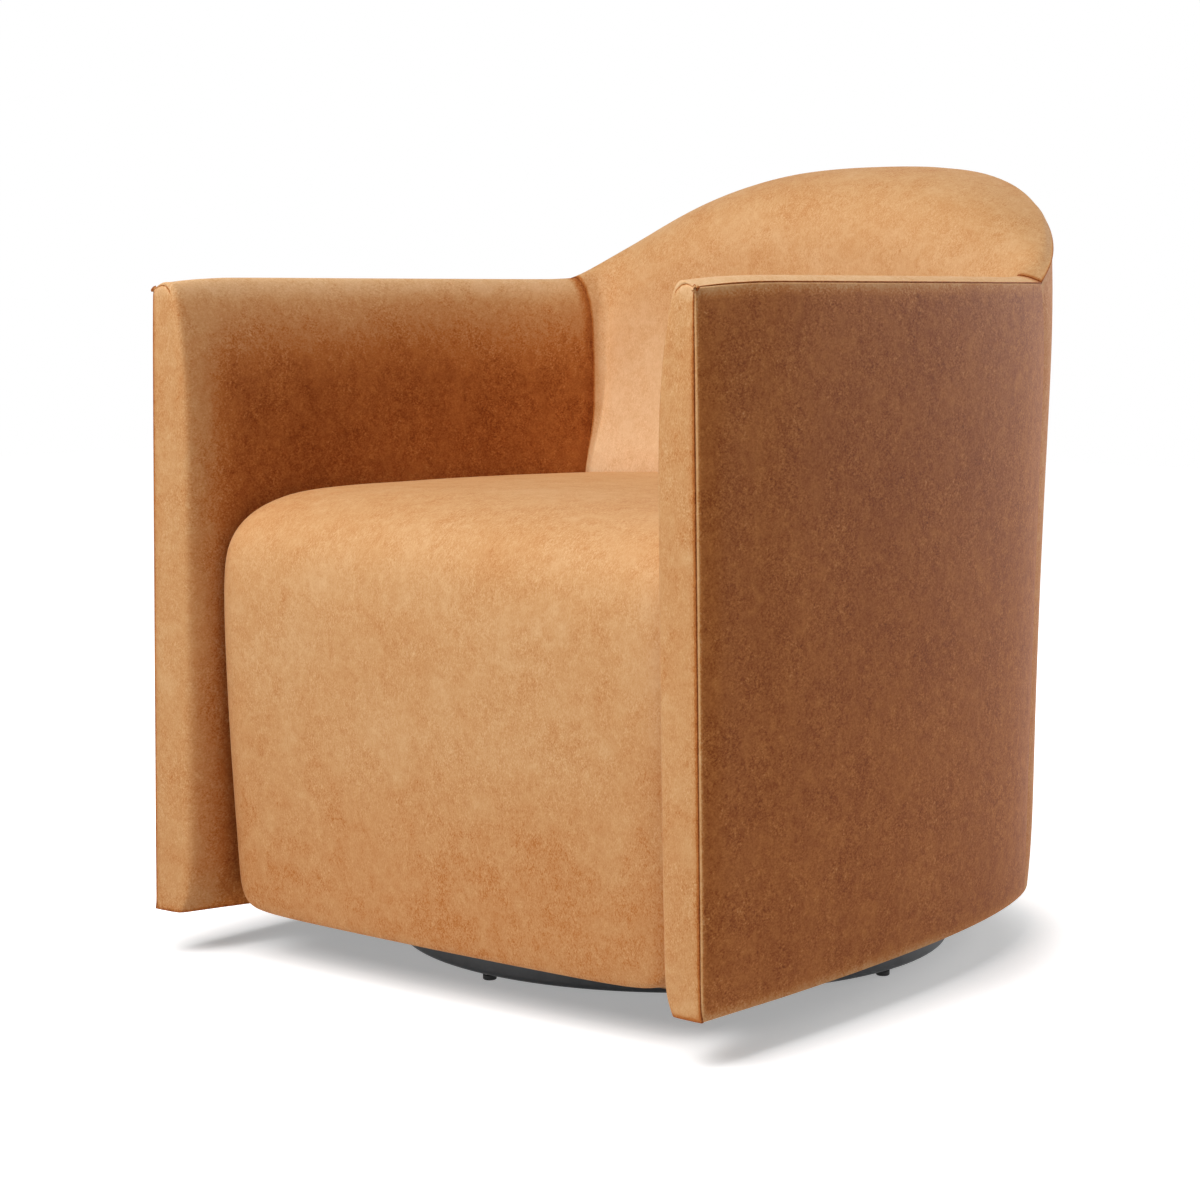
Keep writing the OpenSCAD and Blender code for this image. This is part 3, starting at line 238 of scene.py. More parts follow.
def nylon(name, light, dark):
    """Moulded nylon: matt, with faint flow clouds and a fine spark-eroded grain."""
    made, tree = new_material(name)
    place = add_node(tree, "TexCoord").outputs["Object"]
    flow = add_node(tree, "TexNoise", Vector=place, Scale=1000 / FLOW_MM, Detail=2.0,
                    Distortion=0.8).outputs[0]
    grain = add_node(tree, "TexNoise", Vector=place, Scale=1000 / GRAIN_MM, Detail=1.0).outputs[0]
    tone = add_node(tree, "ValToRGB", stops=((0.35, dark), (0.65, light)), Fac=flow)
    relief = add_node(tree, "Bump", Height=grain, Strength=0.2, Distance=0.0002)
    rough = add_node(tree, "MapRange", i0=flow, i1=0.3, i2=0.7, i3=0.45, i4=0.58).outputs[0]
    skin = add_node(tree, "BsdfPrincipled", Base_Color=tone.outputs[0], Roughness=rough,
                    Normal=relief.outputs[0])
    skin.inputs["IOR"].default_value = 1.53
    add_node(tree, "OutputMaterial", Surface=skin.outputs[0])
    return made


SPANGLE_MM = 3
SCUFF_MM = 0.5


def bright_steel(name, light, dark, smooth, rough):
    """Metal with plated spangles or drawing marks: two close greys and two degrees of roughness."""
    made, tree = new_material(name)
    place = add_node(tree, "TexCoord").outputs["Object"]
    spangle = add_node(tree, "TexVoronoi", Vector=place, Scale=1000 / SPANGLE_MM).outputs["Color"]
    scuffs = add_node(tree, "TexNoise", Vector=place, Scale=1000 / SCUFF_MM, Detail=2.0).outputs[0]
    facet = add_node(tree, "SeparateColor", Color=spangle).outputs[0]
    tone = add_node(tree, "ValToRGB", stops=((0.0, dark), (1.0, light)), Fac=facet)
    relief = add_node(tree, "Bump", Height=scuffs, Strength=0.12, Distance=0.0002)
    sheen = add_node(tree, "MapRange", i0=facet, i1=0.0, i2=1.0, i3=smooth, i4=rough).outputs[0]
    skin = add_node(tree, "BsdfPrincipled", Base_Color=tone.outputs[0], Roughness=sheen,
                    Normal=relief.outputs[0])
    skin.inputs["Metallic"].default_value = 1.0
    add_node(tree, "OutputMaterial", Surface=skin.outputs[0])
    return made


black_nylon = nylon("moulded_black_nylon", "#202021", "#161617")
zinc = bright_steel("zinc_plated_steel", "#c3c7cb", "#a9adb2", 0.3, 0.42)
GLIDES = range(1, 5)
finish_nodes(black_nylon, " ".join(f"glide_pad_{k}" for k in GLIDES))
finish_nodes(zinc, "glide_nuts " + " ".join(f"glide_stud_{k}" for k in GLIDES))

# The swivel: two pressed and zinc-plated steel plates, a ring of polished balls in a white nylon cage
# between them, and a pivot bolt in a flanged nylon bush; bolts hold one plate to the deck, one to the base.
white_nylon = nylon("moulded_white_nylon", "#ebe9e2", "#dfdcd2")
ball_steel = bright_steel("polished_ball_steel", "#a9adb2", "#9a9ea3", 0.12, 0.2)
finish_nodes(zinc, "swivel_top_plate swivel_bottom_plate top_plate_bolts tee_nuts base_bolts base_nuts")
finish_nodes(zinc, "pivot_bolt pivot_nut")
finish_nodes(white_nylon, "pivot_bush bearing_cage")
finish_nodes(ball_steel, "bearing_balls")

# The frame: boards, posts and rails sawn from birch plywood, glued and screwed, with triangular beech
# blocks in the corners. Plywood shows pale open grain on its faces and brown and cream layers on its edges.
VENEER_MM = 1.4
VENEER_TURNS = (0.0006, 0.0008)
GRAIN_LINE_MM = 2.2


def plywood(name, across):
    """Birch plywood with its veneers stacked along x, y or z, for across 0, 1 or 2."""
    made, tree = new_material(name)
    coords = add_node(tree, "TexCoord")
    place = coords.outputs["Object"]
    parts = add_node(tree, "SeparateXYZ", Vector=place)
    facing = add_node(tree, "SeparateXYZ", Vector=coords.outputs["Normal"])
    on_face = add_node(tree, "Math", {"operation": "ABSOLUTE"}, i0=facing.outputs[across]).outputs[0]
    on_face = add_node(tree, "MapRange", i0=on_face, i1=0.6, i2=0.8, i3=0.0, i4=1.0).outputs[0]
    along = [0.12, 1.0, 1.0] if across != 0 else [1.0, 0.12, 1.0]
    grain_way = add_node(tree, "Mapping", Vector=place, Scale=along).outputs[0]
    grain = add_node(tree, "TexNoise", Vector=grain_way, Scale=1000 / GRAIN_LINE_MM, Detail=4.0,
                     Distortion=0.6).outputs[0]
    layer = add_node(tree, "Math", {"operation": "PINGPONG"}, i0=parts.outputs[across],
                     i1=VENEER_MM / 1000)
    layer = add_node(tree, "MapRange", i0=layer.outputs[0], i1=VENEER_TURNS[0], i2=VENEER_TURNS[1],
                     i3=0.0, i4=1.0).outputs[0]
    face = add_node(tree, "ValToRGB", stops=((0.3, "#c9a877"), (0.7, "#e3cba3")), Fac=grain)
    edge = add_node(tree, "ValToRGB", stops=((0.0, "#a07a4c"), (1.0, "#dcc094")), Fac=layer)
    worn = add_node(tree, "Mix", {"data_type": "RGBA", "blend_type": "MULTIPLY"}, i0=0.35,
                    i6=edge.outputs[0], i7=face.outputs[0]).outputs[2]
    wood = add_node(tree, "Mix", {"data_type": "RGBA"}, i0=on_face, i6=worn,
                    i7=face.outputs[0]).outputs[2]
    relief = add_node(tree, "Bump", Height=grain, Strength=0.25, Distance=0.0004)
    rough = add_node(tree, "MapRange", i0=grain, i1=0.3, i2=0.7, i3=0.72, i4=0.6).outputs[0]
    skin = add_node(tree, "BsdfPrincipled", Base_Color=wood, Roughness=rough, Normal=relief.outputs[0])
    add_node(tree, "OutputMaterial", Surface=skin.outputs[0])
    return made


finish_nodes(plywood("birch_plywood_laid_flat", 2),
             "deck back_shelf arm_rail_left arm_rail_right back_mid_rail back_top_rail")
finish_nodes(plywood("birch_plywood_facing_front", 1), "seat_front_board seat_rear_board")
finish_nodes(plywood("birch_plywood_facing_side", 0),
             "seat_side_boards front_posts corner_posts back_posts")

FLECK_MM = 1.8
beech, tree = new_material("sawn_beech")
place = add_node(tree, "TexCoord").outputs["Object"]
fleck_way = add_node(tree, "Mapping", Vector=place, Scale=(1.0, 1.0, 0.15)).outputs[0]
flecks = add_node(tree, "TexNoise", Vector=fleck_way, Scale=1000 / FLECK_MM, Detail=3.0).outputs[0]
tone = add_node(tree, "ValToRGB", stops=((0.36, "#a97b4c"), (0.56, "#cfa878")), Fac=flecks)
relief = add_node(tree, "Bump", Height=flecks, Strength=0.2, Distance=0.0003)
skin = add_node(tree, "BsdfPrincipled", Base_Color=tone.outputs[0], Roughness=0.62,
                Normal=relief.outputs[0])
add_node(tree, "OutputMaterial", Surface=skin.outputs[0])
finish_nodes(beech, "corner_blocks")
finish_nodes(zinc, "deck_screws")

# The seat's springs: five sinuous springs of drawn and oiled spring wire, in zinc-plated clips that are
# nailed to the front and rear boards. Drawn wire is a dark grey metal, duller than the clips.
spring_wire = bright_steel("drawn_spring_wire", "#7f8388", "#6b6f74", 0.3, 0.45)
finish_nodes(spring_wire, "seat_springs")
finish_nodes(zinc, "spring_clips")

# Bent fibreboards close the sides and the back under the leather. They are thin, brown and hard,
# with a felted surface of short pressed fibres.
FIBRE_MM = 2.5
fibreboard, tree = new_material("pressed_fibreboard")
place = add_node(tree, "TexCoord").outputs["Object"]
fibres = add_node(tree, "TexNoise", Vector=place, Scale=1000 / FIBRE_MM, Detail=5.0,
                  Distortion=1.4).outputs[0]
tone = add_node(tree, "ValToRGB", stops=((0.34, "#8b6f4c"), (0.68, "#bda27c")), Fac=fibres)
relief = add_node(tree, "Bump", Height=fibres, Strength=0.3, Distance=0.0003)
skin = add_node(tree, "BsdfPrincipled", Base_Color=tone.outputs[0], Roughness=0.7,
                Normal=relief.outputs[0])
add_node(tree, "OutputMaterial", Surface=skin.outputs[0])
finish_nodes(fibreboard, "side_board_left side_board_right back_board")

# Four straps of black elastic webbing carry the back's foam. They are woven flat with thick ribs along
# them, stretched from the shelf's rear edge up to the top rail and stapled there.
MERGE_WITHIN = 0.00001


def cad_copy(node):
    """The merged mesh of a CAD piece, to make the real one from."""
    bm = bmesh.new()
    bm.from_mesh(nodes[node].data)
    bmesh.ops.remove_doubles(bm, verts=bm.verts, dist=MERGE_WITHIN)
    return bm


def stands_for(piece, node, body):
    """Puts a finished piece in the place of its CAD solid."""
    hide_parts(node)
    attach(piece, body)


def rounded(piece, width, segments, least_angle):
    """Rounds a piece's edges that turn by more than least_angle degrees."""
    roll = piece.modifiers.new("roll", "BEVEL")
    roll.width = width
    roll.segments = segments
    roll.limit_method = "ANGLE"
    roll.angle_limit = radians(least_angle)


def settle_modifiers(piece):
    """Turns a piece's modifiers into its own mesh."""
    bpy.context.view_layer.update()
    found = piece.evaluated_get(bpy.context.evaluated_depsgraph_get())
    made = bpy.data.meshes.new_from_object(found)
    piece.modifiers.clear()
    old = piece.data
    piece.data = made
    bpy.data.meshes.remove(old)
    piece.data.polygons.foreach_set("use_smooth", [True] * len(piece.data.polygons))


def woven(name, first, second, first_mm, second_mm, dark, light, axes=(0, 2)):
    """A woven or point-bonded cloth: two waves along two axes raise its threads or dimples."""
    made, tree = new_material(name)
    place = add_node(tree, "TexCoord").outputs["Object"]
    parts = add_node(tree, "SeparateXYZ", Vector=place)
    waves = []
    for axis, size in zip(axes, (first_mm, second_mm)):
        angle = add_node(tree, "Math", {"operation": "MULTIPLY"}, i0=parts.outputs[axis],
                         i1=2000 * pi / size)
        waves.append(add_node(tree, "Math", {"operation": "SINE"}, i0=angle.outputs[0]).outputs[0])
    weave = add_node(tree, "Math", {"operation": "MULTIPLY"}, i0=waves[0], i1=first).outputs[0]
    weave = add_node(tree, "Math", {"operation": "MULTIPLY_ADD"}, i0=waves[1], i1=second,
                     i2=weave).outputs[0]
    lint = add_node(tree, "TexNoise", Vector=place, Scale=1000 / first_mm, Detail=3.0).outputs[0]
    mixed = add_node(tree, "Math", {"operation": "MULTIPLY_ADD"}, i0=weave, i1=0.25, i2=lint).outputs[0]
    tone = add_node(tree, "ValToRGB", stops=((0.3, dark), (0.75, light)), Fac=mixed)
    relief = add_node(tree, "Bump", Height=weave, Strength=0.5, Distance=0.0004)
    skin = add_node(tree, "BsdfPrincipled", Base_Color=tone.outputs[0], Roughness=0.85,
                    Normal=relief.outputs[0])
    skin.inputs["Sheen Weight"].default_value = 0.2
    add_node(tree, "OutputMaterial", Surface=skin.outputs[0])
    return made


RIB_MM = 2.6
WEFT_MM = 1.8
STRAP_EDGE = 0.0007
webbing = woven("woven_elastic_webbing", 1.0, 0.35, RIB_MM, WEFT_MM, "#1b1b1d", "#3c3c40")
straps = new_piece("elastic_straps", cad_copy("back_straps"), webbing)
rounded(straps, STRAP_EDGE, segments=2, least_angle=40)
settle_modifiers(straps)
stands_for(straps, "back_straps", "chair")

# A sheet of grey needled felt lies on the springs and keeps their wire out of the foam. It is pressed
# from mixed waste fibres, so it is flecked light and dark.
FELT_FIBRE_MM = 1.6
FELT_EDGE = 0.001
felt, tree = new_material("needled_waste_felt")
place = add_node(tree, "TexCoord").outputs["Object"]
fibres = add_node(tree, "TexNoise", Vector=place, Scale=1000 / FELT_FIBRE_MM, Detail=4.0,
                  Distortion=2.0).outputs[0]
tone = add_node(tree, "ValToRGB", stops=((0.32, "#5d5c58"), (0.7, "#b3b0a6")), Fac=fibres)
relief = add_node(tree, "Bump", Height=fibres, Strength=0.6, Distance=0.0008)
skin = add_node(tree, "BsdfPrincipled", Base_Color=tone.outputs[0], Roughness=0.95,
                Normal=relief.outputs[0])
skin.inputs["Sheen Weight"].default_value = 0.3
add_node(tree, "OutputMaterial", Surface=skin.outputs[0])
felt_sheet = new_piece("felt_sheet", cad_copy("spring_felt"), felt)
rounded(felt_sheet, FELT_EDGE, segments=3, least_angle=40)
settle_modifiers(felt_sheet)
stands_for(felt_sheet, "spring_felt", "chair")

# The foams: cold-cured polyurethane, cut to shape and glued to the frame: a deep seat block, a thick back
# and thin arm pads. Cut foam is cream, matt and full of open cells.
CELL_MM = 2.4
foam, tree = new_material("cut_polyurethane_foam")
place = add_node(tree, "TexCoord").outputs["Object"]
cells = add_node(tree, "TexVoronoi", {"feature": "SMOOTH_F1"}, Vector=place, Scale=1000 / CELL_MM,
                 Smoothness=0.3).outputs[0]
ageing = add_node(tree, "TexNoise", Vector=place, Scale=1000 / CLOUD_MM, Detail=3.0).outputs[0]
pores = add_node(tree, "Math", {"operation": "MULTIPLY_ADD"}, i0=cells, i1=0.45, i2=ageing).outputs[0]
tone = add_node(tree, "ValToRGB", stops=((0.45, "#e2d6b0"), (0.85, "#f4ecd2")), Fac=pores)
relief = add_node(tree, "Bump", Height=cells, Strength=0.5, Distance=0.0007)
skin = add_node(tree, "BsdfPrincipled", Base_Color=tone.outputs[0], Roughness=0.95,
                Normal=relief.outputs[0])
add_node(tree, "OutputMaterial", Surface=skin.outputs[0])
FOAM_EDGES = {"seat_foam": 0.006, "back_foam": 0.004, "arm_foam_left": 0.0025, "arm_foam_right": 0.0025}
for node, edge in FOAM_EDGES.items():
    bm = cad_copy(node)
    bmesh.ops.join_triangles(bm, faces=bm.faces, angle_face_threshold=radians(30),
                             angle_shape_threshold=radians(40))
    block = new_piece(node + "_block", bm, foam)
    rounded(block, edge, segments=3, least_angle=45)
    settle_modifiers(block)
    stands_for(block, node, "chair")

# Black spun-bonded cloth closes the chair's underside round the swivel. It is stapled flat under the
# deck, thin and matt, with the small welded dimples that hold its fibres together.
DIMPLE_MM = 2.4
CLOTH_EDGE = 0.0003
LOOKS_UP = 0.9
dust_cloth = woven("spun_bonded_cloth", 0.7, 0.7, DIMPLE_MM, DIMPLE_MM, "#121213", "#29292b", axes=(0, 1))
bm = cad_copy("dust_cover")
dust_area = sum(f.calc_area() for f in bm.faces if f.normal.z > LOOKS_UP)
dust_sheet = new_piece("dust_cloth", bm, dust_cloth)
rounded(dust_sheet, CLOTH_EDGE, segments=2, least_angle=40)
settle_modifiers(dust_sheet)
stands_for(dust_sheet, "dust_cover", "chair")

# The leather: full-grain aniline hide, dyed through and brushed to a soft nap, cut in seven panels that
# are sewn to each other and drawn tight over foam and boards. It is pale tan, with short streaks of nap
# and soft clouds. Its colour also holds painted light and shade: browner sides, partly the hide's own
# colour and partly painted shade, painted shade in the seams' grooves, on the inside arms and towards
# the seat's hem, and painted highlights on rolled edges, the arms' crests and the back above the seat.
NAP_MM = 1.0
STREAK_MM = 2.0
BLOTCH_MM = 13
PATCH_MM = 38
HIDE_CLOUD_MM = 90
PORE_MM = 1.1
HIDE_TONES = ((0.0, "#eecba0"), (0.3, "#cf9c68"), (0.5, "#b87137"), (0.72, "#8f4a1a"), (1.0, "#5f2d0c"))
PALE_TONE = 0.3
BROWN_REACH = 0.32
hide, tree = new_material("brushed_aniline_hide")
place = add_node(tree, "TexCoord").outputs["Object"]
# Each vertex carries a tone that holds the hide's own tan and brown and also painted light and shade.
tone_and_painted_light = add_node(tree, "Attribute", {"attribute_name": "tone_and_painted_light"}).outputs["Fac"]
nap_way = add_node(tree, "Mapping", Vector=place, Rotation=(0.7, 0.6, 0.5),
                   Scale=(1.0, 0.38, 0.6)).outputs[0]
nap = add_node(tree, "TexNoise", Vector=nap_way, Scale=1000 / NAP_MM, Detail=2.0, Roughness=0.6,
               Distortion=0.5).outputs[0]
streak_way = add_node(tree, "Mapping", Vector=place, Rotation=(0.2, 0.4, 0.9),
                      Scale=(1.0, 0.45, 0.5)).outputs[0]
streaks = add_node(tree, "TexNoise", Vector=streak_way, Scale=1000 / STREAK_MM, Detail=2.0, Roughness=0.5,
                   Distortion=1.2).outputs[0]
blotch = add_node(tree, "TexNoise", Vector=place, Scale=1000 / BLOTCH_MM, Detail=4.0, Roughness=0.6,
                  Distortion=0.5).outputs[0]
patches = add_node(tree, "TexNoise", Vector=place, Scale=1000 / PATCH_MM, Detail=3.0, Roughness=0.6,
                   Distortion=0.6).outputs[0]
clouds = add_node(tree, "TexNoise", Vector=place, Scale=1000 / HIDE_CLOUD_MM, Detail=2.0, Roughness=0.5,
                  Distortion=0.3).outputs[0]
worn = add_node(tree, "MapRange", i0=patches, i1=0.38, i2=0.62, i3=0.55, i4=1.25).outputs[0]
fibres = add_node(tree, "Math", {"operation": "MULTIPLY_ADD"}, i0=nap, i1=0.75, i2=-0.65).outputs[0]
fibres = add_node(tree, "Math", {"operation": "MULTIPLY_ADD"}, i0=streaks, i1=0.55, i2=fibres).outputs[0]
fibres = add_node(tree, "Math", {"operation": "MULTIPLY"}, i0=fibres, i1=worn).outputs[0]
deeper = add_node(tree, "MapRange", i0=tone_and_painted_light, i1=0.0, i2=1.0, i3=0.46, i4=0.72).outputs[0]
fibres = add_node(tree, "Math", {"operation": "MULTIPLY"}, i0=fibres, i1=deeper).outputs[0]
mottle = add_node(tree, "Math", {"operation": "SUBTRACT"}, i0=blotch, i1=0.5).outputs[0]
mottle = add_node(tree, "Math", {"operation": "MULTIPLY"}, i0=mottle, i1=deeper).outputs[0]
fibres = add_node(tree, "Math", {"operation": "MULTIPLY_ADD"}, i0=mottle, i1=0.42, i2=fibres).outputs[0]
PATTERNS = ((patches, 0.14), (clouds, 0.12))
tone = add_node(tree, "Math", {"operation": "MULTIPLY_ADD"}, i0=tone_and_painted_light, i1=BROWN_REACH,
                i2=PALE_TONE - sum(depth for pattern, depth in PATTERNS) / 2).outputs[0]
tone = add_node(tree, "Math", {"operation": "ADD"}, i0=fibres, i1=tone).outputs[0]
for pattern, depth in PATTERNS:
    tone = add_node(tree, "Math", {"operation": "MULTIPLY_ADD"}, i0=pattern, i1=depth, i2=tone).outputs[0]
dyed = add_node(tree, "ValToRGB", stops=HIDE_TONES, Fac=tone)
pores = add_node(tree, "TexVoronoi", {"feature": "SMOOTH_F1"}, Vector=place, Scale=1000 / PORE_MM,
                 Smoothness=0.6).outputs[0]
fine = add_node(tree, "Bump", Height=pores, Strength=0.12, Distance=0.0003)
napped = add_node(tree, "Bump", Height=fibres, Strength=0.25, Distance=0.0005, Normal=fine.outputs[0])
soft = add_node(tree, "Bump", Height=blotch, Strength=0.1, Distance=0.0015, Normal=napped.outputs[0])
rough = add_node(tree, "MapRange", i0=nap, i1=0.3, i2=0.7, i3=0.58, i4=0.7).outputs[0]
skin = add_node(tree, "BsdfPrincipled", Base_Color=dyed.outputs[0], Roughness=rough,
                Normal=soft.outputs[0])
skin.inputs["IOR"].default_value = 1.45
skin.inputs["Specular IOR Level"].default_value = 0.14
skin.inputs["Sheen Weight"].default_value = 0.06
skin.inputs["Sheen Roughness"].default_value = 0.5
skin.inputs["Sheen Tint"].default_value = linear("#ffdcbc")
add_node(tree, "OutputMaterial", Surface=skin.outputs[0])


def cover_face(node, towards, fold):
    """Outer face of a cover's thin shell as a sheet of quads: towards is where it looks.

    The shell's two faces meet at edges that turn by more than fold degrees.
    """
    bm = cad_copy(node)
    bm.normal_update()
    patches = []
    seen = set()
    for first in bm.faces:
        if first in seen:
            continue
        seen.add(first)
        patch = [first]
        for face in patch:
            for edge in face.edges:
                if edge.calc_face_angle(pi) > radians(fold):
                    continue
                for other in edge.link_faces:
                    if other not in seen:
                        seen.add(other)
                        patch.append(other)
        looks = sum((f.normal * f.calc_area() for f in patch), Vector()).dot(Vector(towards))
        patches.append((looks, len(patches), patch))
    inner = {v for f in min(patches)[2] for v in f.verts}
    outer = {f for f in max(patches)[2] if not inner.intersection(f.verts)}
    bmesh.ops.delete(bm, geom=[f for f in bm.faces if f not in outer], context="FACES")
    return squared(bm)


def squared(bm):
    """Turns a grid of triangles into its quads, by following the diagonals from one to the next."""
    longest = {}
    corner = min(bm.faces, key=lambda face: abs(max(loop.calc_angle() for loop in face.loops) - pi / 2))
    longest[corner] = max(corner.loops, key=lambda loop: loop.edge.calc_length())
    walk = [corner]
    for face in walk:
        diagonal = longest[face]
        for loop in face.loops:
            beside = loop.link_loop_radial_next
            if beside is loop or beside.face in longest:
                continue
            if loop is diagonal:
                found = beside
            elif loop is diagonal.link_loop_next:
                found = beside.link_loop_prev
            else:
                found = beside.link_loop_next
            longest[beside.face] = found
            walk.append(beside.face)
    across = dict.fromkeys(loop.edge for loop in longest.values() if len(loop.edge.link_faces) == 2)
    bmesh.ops.dissolve_edges(bm, edges=list(across), use_verts=False)
    return bm


CORNER_TURN = 35


def subdivided(piece):
    """Adds a subdivision that keeps the corners of an open sheet."""
    bm = bmesh.new()
    bm.from_mesh(piece.data)
    sharp = bm.verts.layers.float.get("crease_vert") or bm.verts.layers.float.new("crease_vert")
    for vertex in (v for v in bm.verts if v.is_boundary):
        ends = [e.other_vert(vertex).co - vertex.co for e in vertex.link_edges if e.is_boundary]
        turns = len(ends) == 2 and ends[0].angle(-ends[1]) > radians(CORNER_TURN)
        vertex[sharp] = 1.0 if turns else 0.0
    bm.to_mesh(piece.data)
    bm.free()
    smooth = piece.modifiers.new("smooth", "SUBSURF")
    smooth.levels = smooth.render_levels = 1
    smooth.boundary_smooth = "PRESERVE_CORNERS"


def rim_of(piece):
    """The vertices on a sheet's open edges."""
    bm = bmesh.new()
    bm.from_mesh(piece.data)
    rim = [v.index for v in bm.verts if v.is_boundary]
    bm.free()
    return rim


PLUMP_PRESSURE = 3.5
PLUMP_MOST = 0.0012
PLUMP_FRAMES = 20
STRETCH_STIFF = 25
SHEAR_STIFF = 10
BEND_STIFF = 2


def plumped(piece):
    """Lets the padding push a sheet out between its seams, by little more than a millimetre."""
    held = piece.vertex_groups.new(name="held")
    held.add(rim_of(piece), 1.0, "REPLACE")
    cloth = piece.modifiers.new("drawn", "CLOTH")
    cloth.settings.quality = 6
    cloth.settings.vertex_group_mass = "held"
    cloth.settings.use_pressure = True
    cloth.settings.uniform_pressure_force = PLUMP_PRESSURE
    cloth.settings.effector_weights.gravity = 0
    cloth.settings.tension_stiffness = STRETCH_STIFF
    cloth.settings.compression_stiffness = STRETCH_STIFF
    cloth.settings.shear_stiffness = SHEAR_STIFF
    cloth.settings.bending_stiffness = BEND_STIFF
    cloth.point_cache.frame_start = 1
    cloth.point_cache.frame_end = PLUMP_FRAMES
    for number in range(1, PLUMP_FRAMES + 1):
        scene.frame_set(number)
    moved = piece.evaluated_get(bpy.context.evaluated_depsgraph_get())
    places = [v.co.copy() for v in moved.data.vertices]
    piece.modifiers.remove(cloth)
    piece.vertex_groups.clear()
    scene.frame_set(1)
    for vertex, place in zip(piece.data.vertices, places):
        shift = place - vertex.co
        if shift.length > PLUMP_MOST:
            shift *= PLUMP_MOST / shift.length
        vertex.co += shift


def mark(piece, name, value_at):
    """Writes a number at each vertex, for the leather's material."""
    kept = piece.data.attributes.new(name, "FLOAT", "POINT")
    kept.data.foreach_set("value", [value_at(v) for v in piece.data.vertices])


def ramped(value, start, end):
    """0 before start, 1 after end, and smooth between them."""
    share = min(max((value - start) / (end - start), 0), 1)
    return share * share * (3 - 2 * share)


def drawn_together(piece, reach):
    """Closes the seams: moves a sheet's open edges outwards, each by what reach gives for its way out."""
    bm = bmesh.new()
    bm.from_mesh(piece.data)
    bm.normal_update()
    shifts = {}
    for edge in (e for e in bm.edges if e.is_boundary):
        face = edge.link_faces[0]
        middle = (edge.verts[0].co + edge.verts[1].co) / 2
        away = (edge.verts[1].co - edge.verts[0].co).cross(face.normal).normalized()
        if away.dot(middle - face.calc_center_median()) < 0:
            away = -away
        for vertex in edge.verts:
            shifts[vertex] = shifts.get(vertex, Vector()) + away
    for vertex, shift in shifts.items():
        vertex.co += shift.normalized() * reach(shift.normalized())
    bm.to_mesh(piece.data)
    bm.free()


CREST_START_Y = -0.381
CORNER_FROM_Z = 0.636
CORNER_LOW_Z = 0.6375
CORNER_TOP_Z = 0.6434
CORNER_BACK = 0.0018
SAME = 0.0001


def corner_eased(bm):
    """Closes and rounds the outer front corner of an inside arm, where its strip turns into its crest."""
    rim = [v for v in bm.verts if v.is_boundary and v.co.y < CREST_START_Y and v.co.z > CORNER_FROM_Z]
    notch = min(rim, key=lambda v: abs(v.co.x))
    ends = [e.other_vert(notch) for e in notch.link_edges if e.is_boundary]
    beside = notch.link_faces[0].normal.copy()
    closing = bmesh.ops.contextual_create(bm, geom=[notch] + ends)["faces"][0]
    closing.normal_update()
    if closing.normal.dot(beside) < 0:
        closing.normal_flip()
    starts = [v.co.copy() for v in bm.verts
              if abs(v.co.y - CREST_START_Y) < SAME and v.co.z > CORNER_FROM_Z]
    inmost = min(abs(co.x) for co in starts)
    outmost = max(abs(co.x) for co in starts)
    for vertex in bm.verts:
        if vertex.co.y > CREST_START_Y - SAME or vertex.co.z < CORNER_FROM_Z:
            continue
        row = min(starts, key=lambda co: abs(co.z - vertex.co.z))
        if abs(row.x) > outmost - SAME:
            continue
        share = (abs(row.x) - inmost) / (outmost - inmost)
        along = ((abs(vertex.co.x) - abs(row.x)) / (outmost - abs(row.x))) ** 2
        vertex.co.z += along * (CORNER_LOW_Z + share * (CORNER_TOP_Z - CORNER_LOW_Z) - vertex.co.z)
        vertex.co.y += along * share * share * CORNER_BACK


DART_SLANT = 0.035
DART_HALF = 0.0013
DART_DEPTH = 0.0016
DART_FROM_Z = 0.638
DART_FULL_Z = 0.644
DART_CUT_Z = 0.618
CUT_WITHIN = 0.000001
ON_PLANE = 0.00001


def sewn_dart(piece):
    """Draws in the short seam that joins an arm's top band to its front strip, and gives its vertices."""
    bm = bmesh.new()
    bm.from_mesh(piece.data)
    corner = max((v.co for v in bm.verts if v.is_boundary), key=lambda co: co.z - co.y).copy()
    across = Vector((DART_SLANT if corner.x > 0 else -DART_SLANT, 1, 0)).normalized()
    for shift in (-DART_HALF, 0, DART_HALF):
        near = [f for f in bm.faces if f.calc_center_median().z > DART_CUT_Z]
        around = near + list(dict.fromkeys([*(e for f in near for e in f.edges),
                                            *(v for f in near for v in f.verts)]))
        bmesh.ops.bisect_plane(bm, geom=around, dist=CUT_WITHIN, plane_co=corner + across * shift,
                               plane_no=across)
    bm.normal_update()
    bm.verts.index_update()
    sewn = set()
    for vertex in bm.verts:
        if abs(across.dot(vertex.co - corner)) < ON_PLANE and vertex.co.z > DART_FROM_Z:
            sewn.add(vertex.index)
            vertex.co -= vertex.normal * DART_DEPTH * ramped(vertex.co.z, DART_FROM_Z, DART_FULL_Z)
    bm.to_mesh(piece.data)
    bm.free()
    return sewn


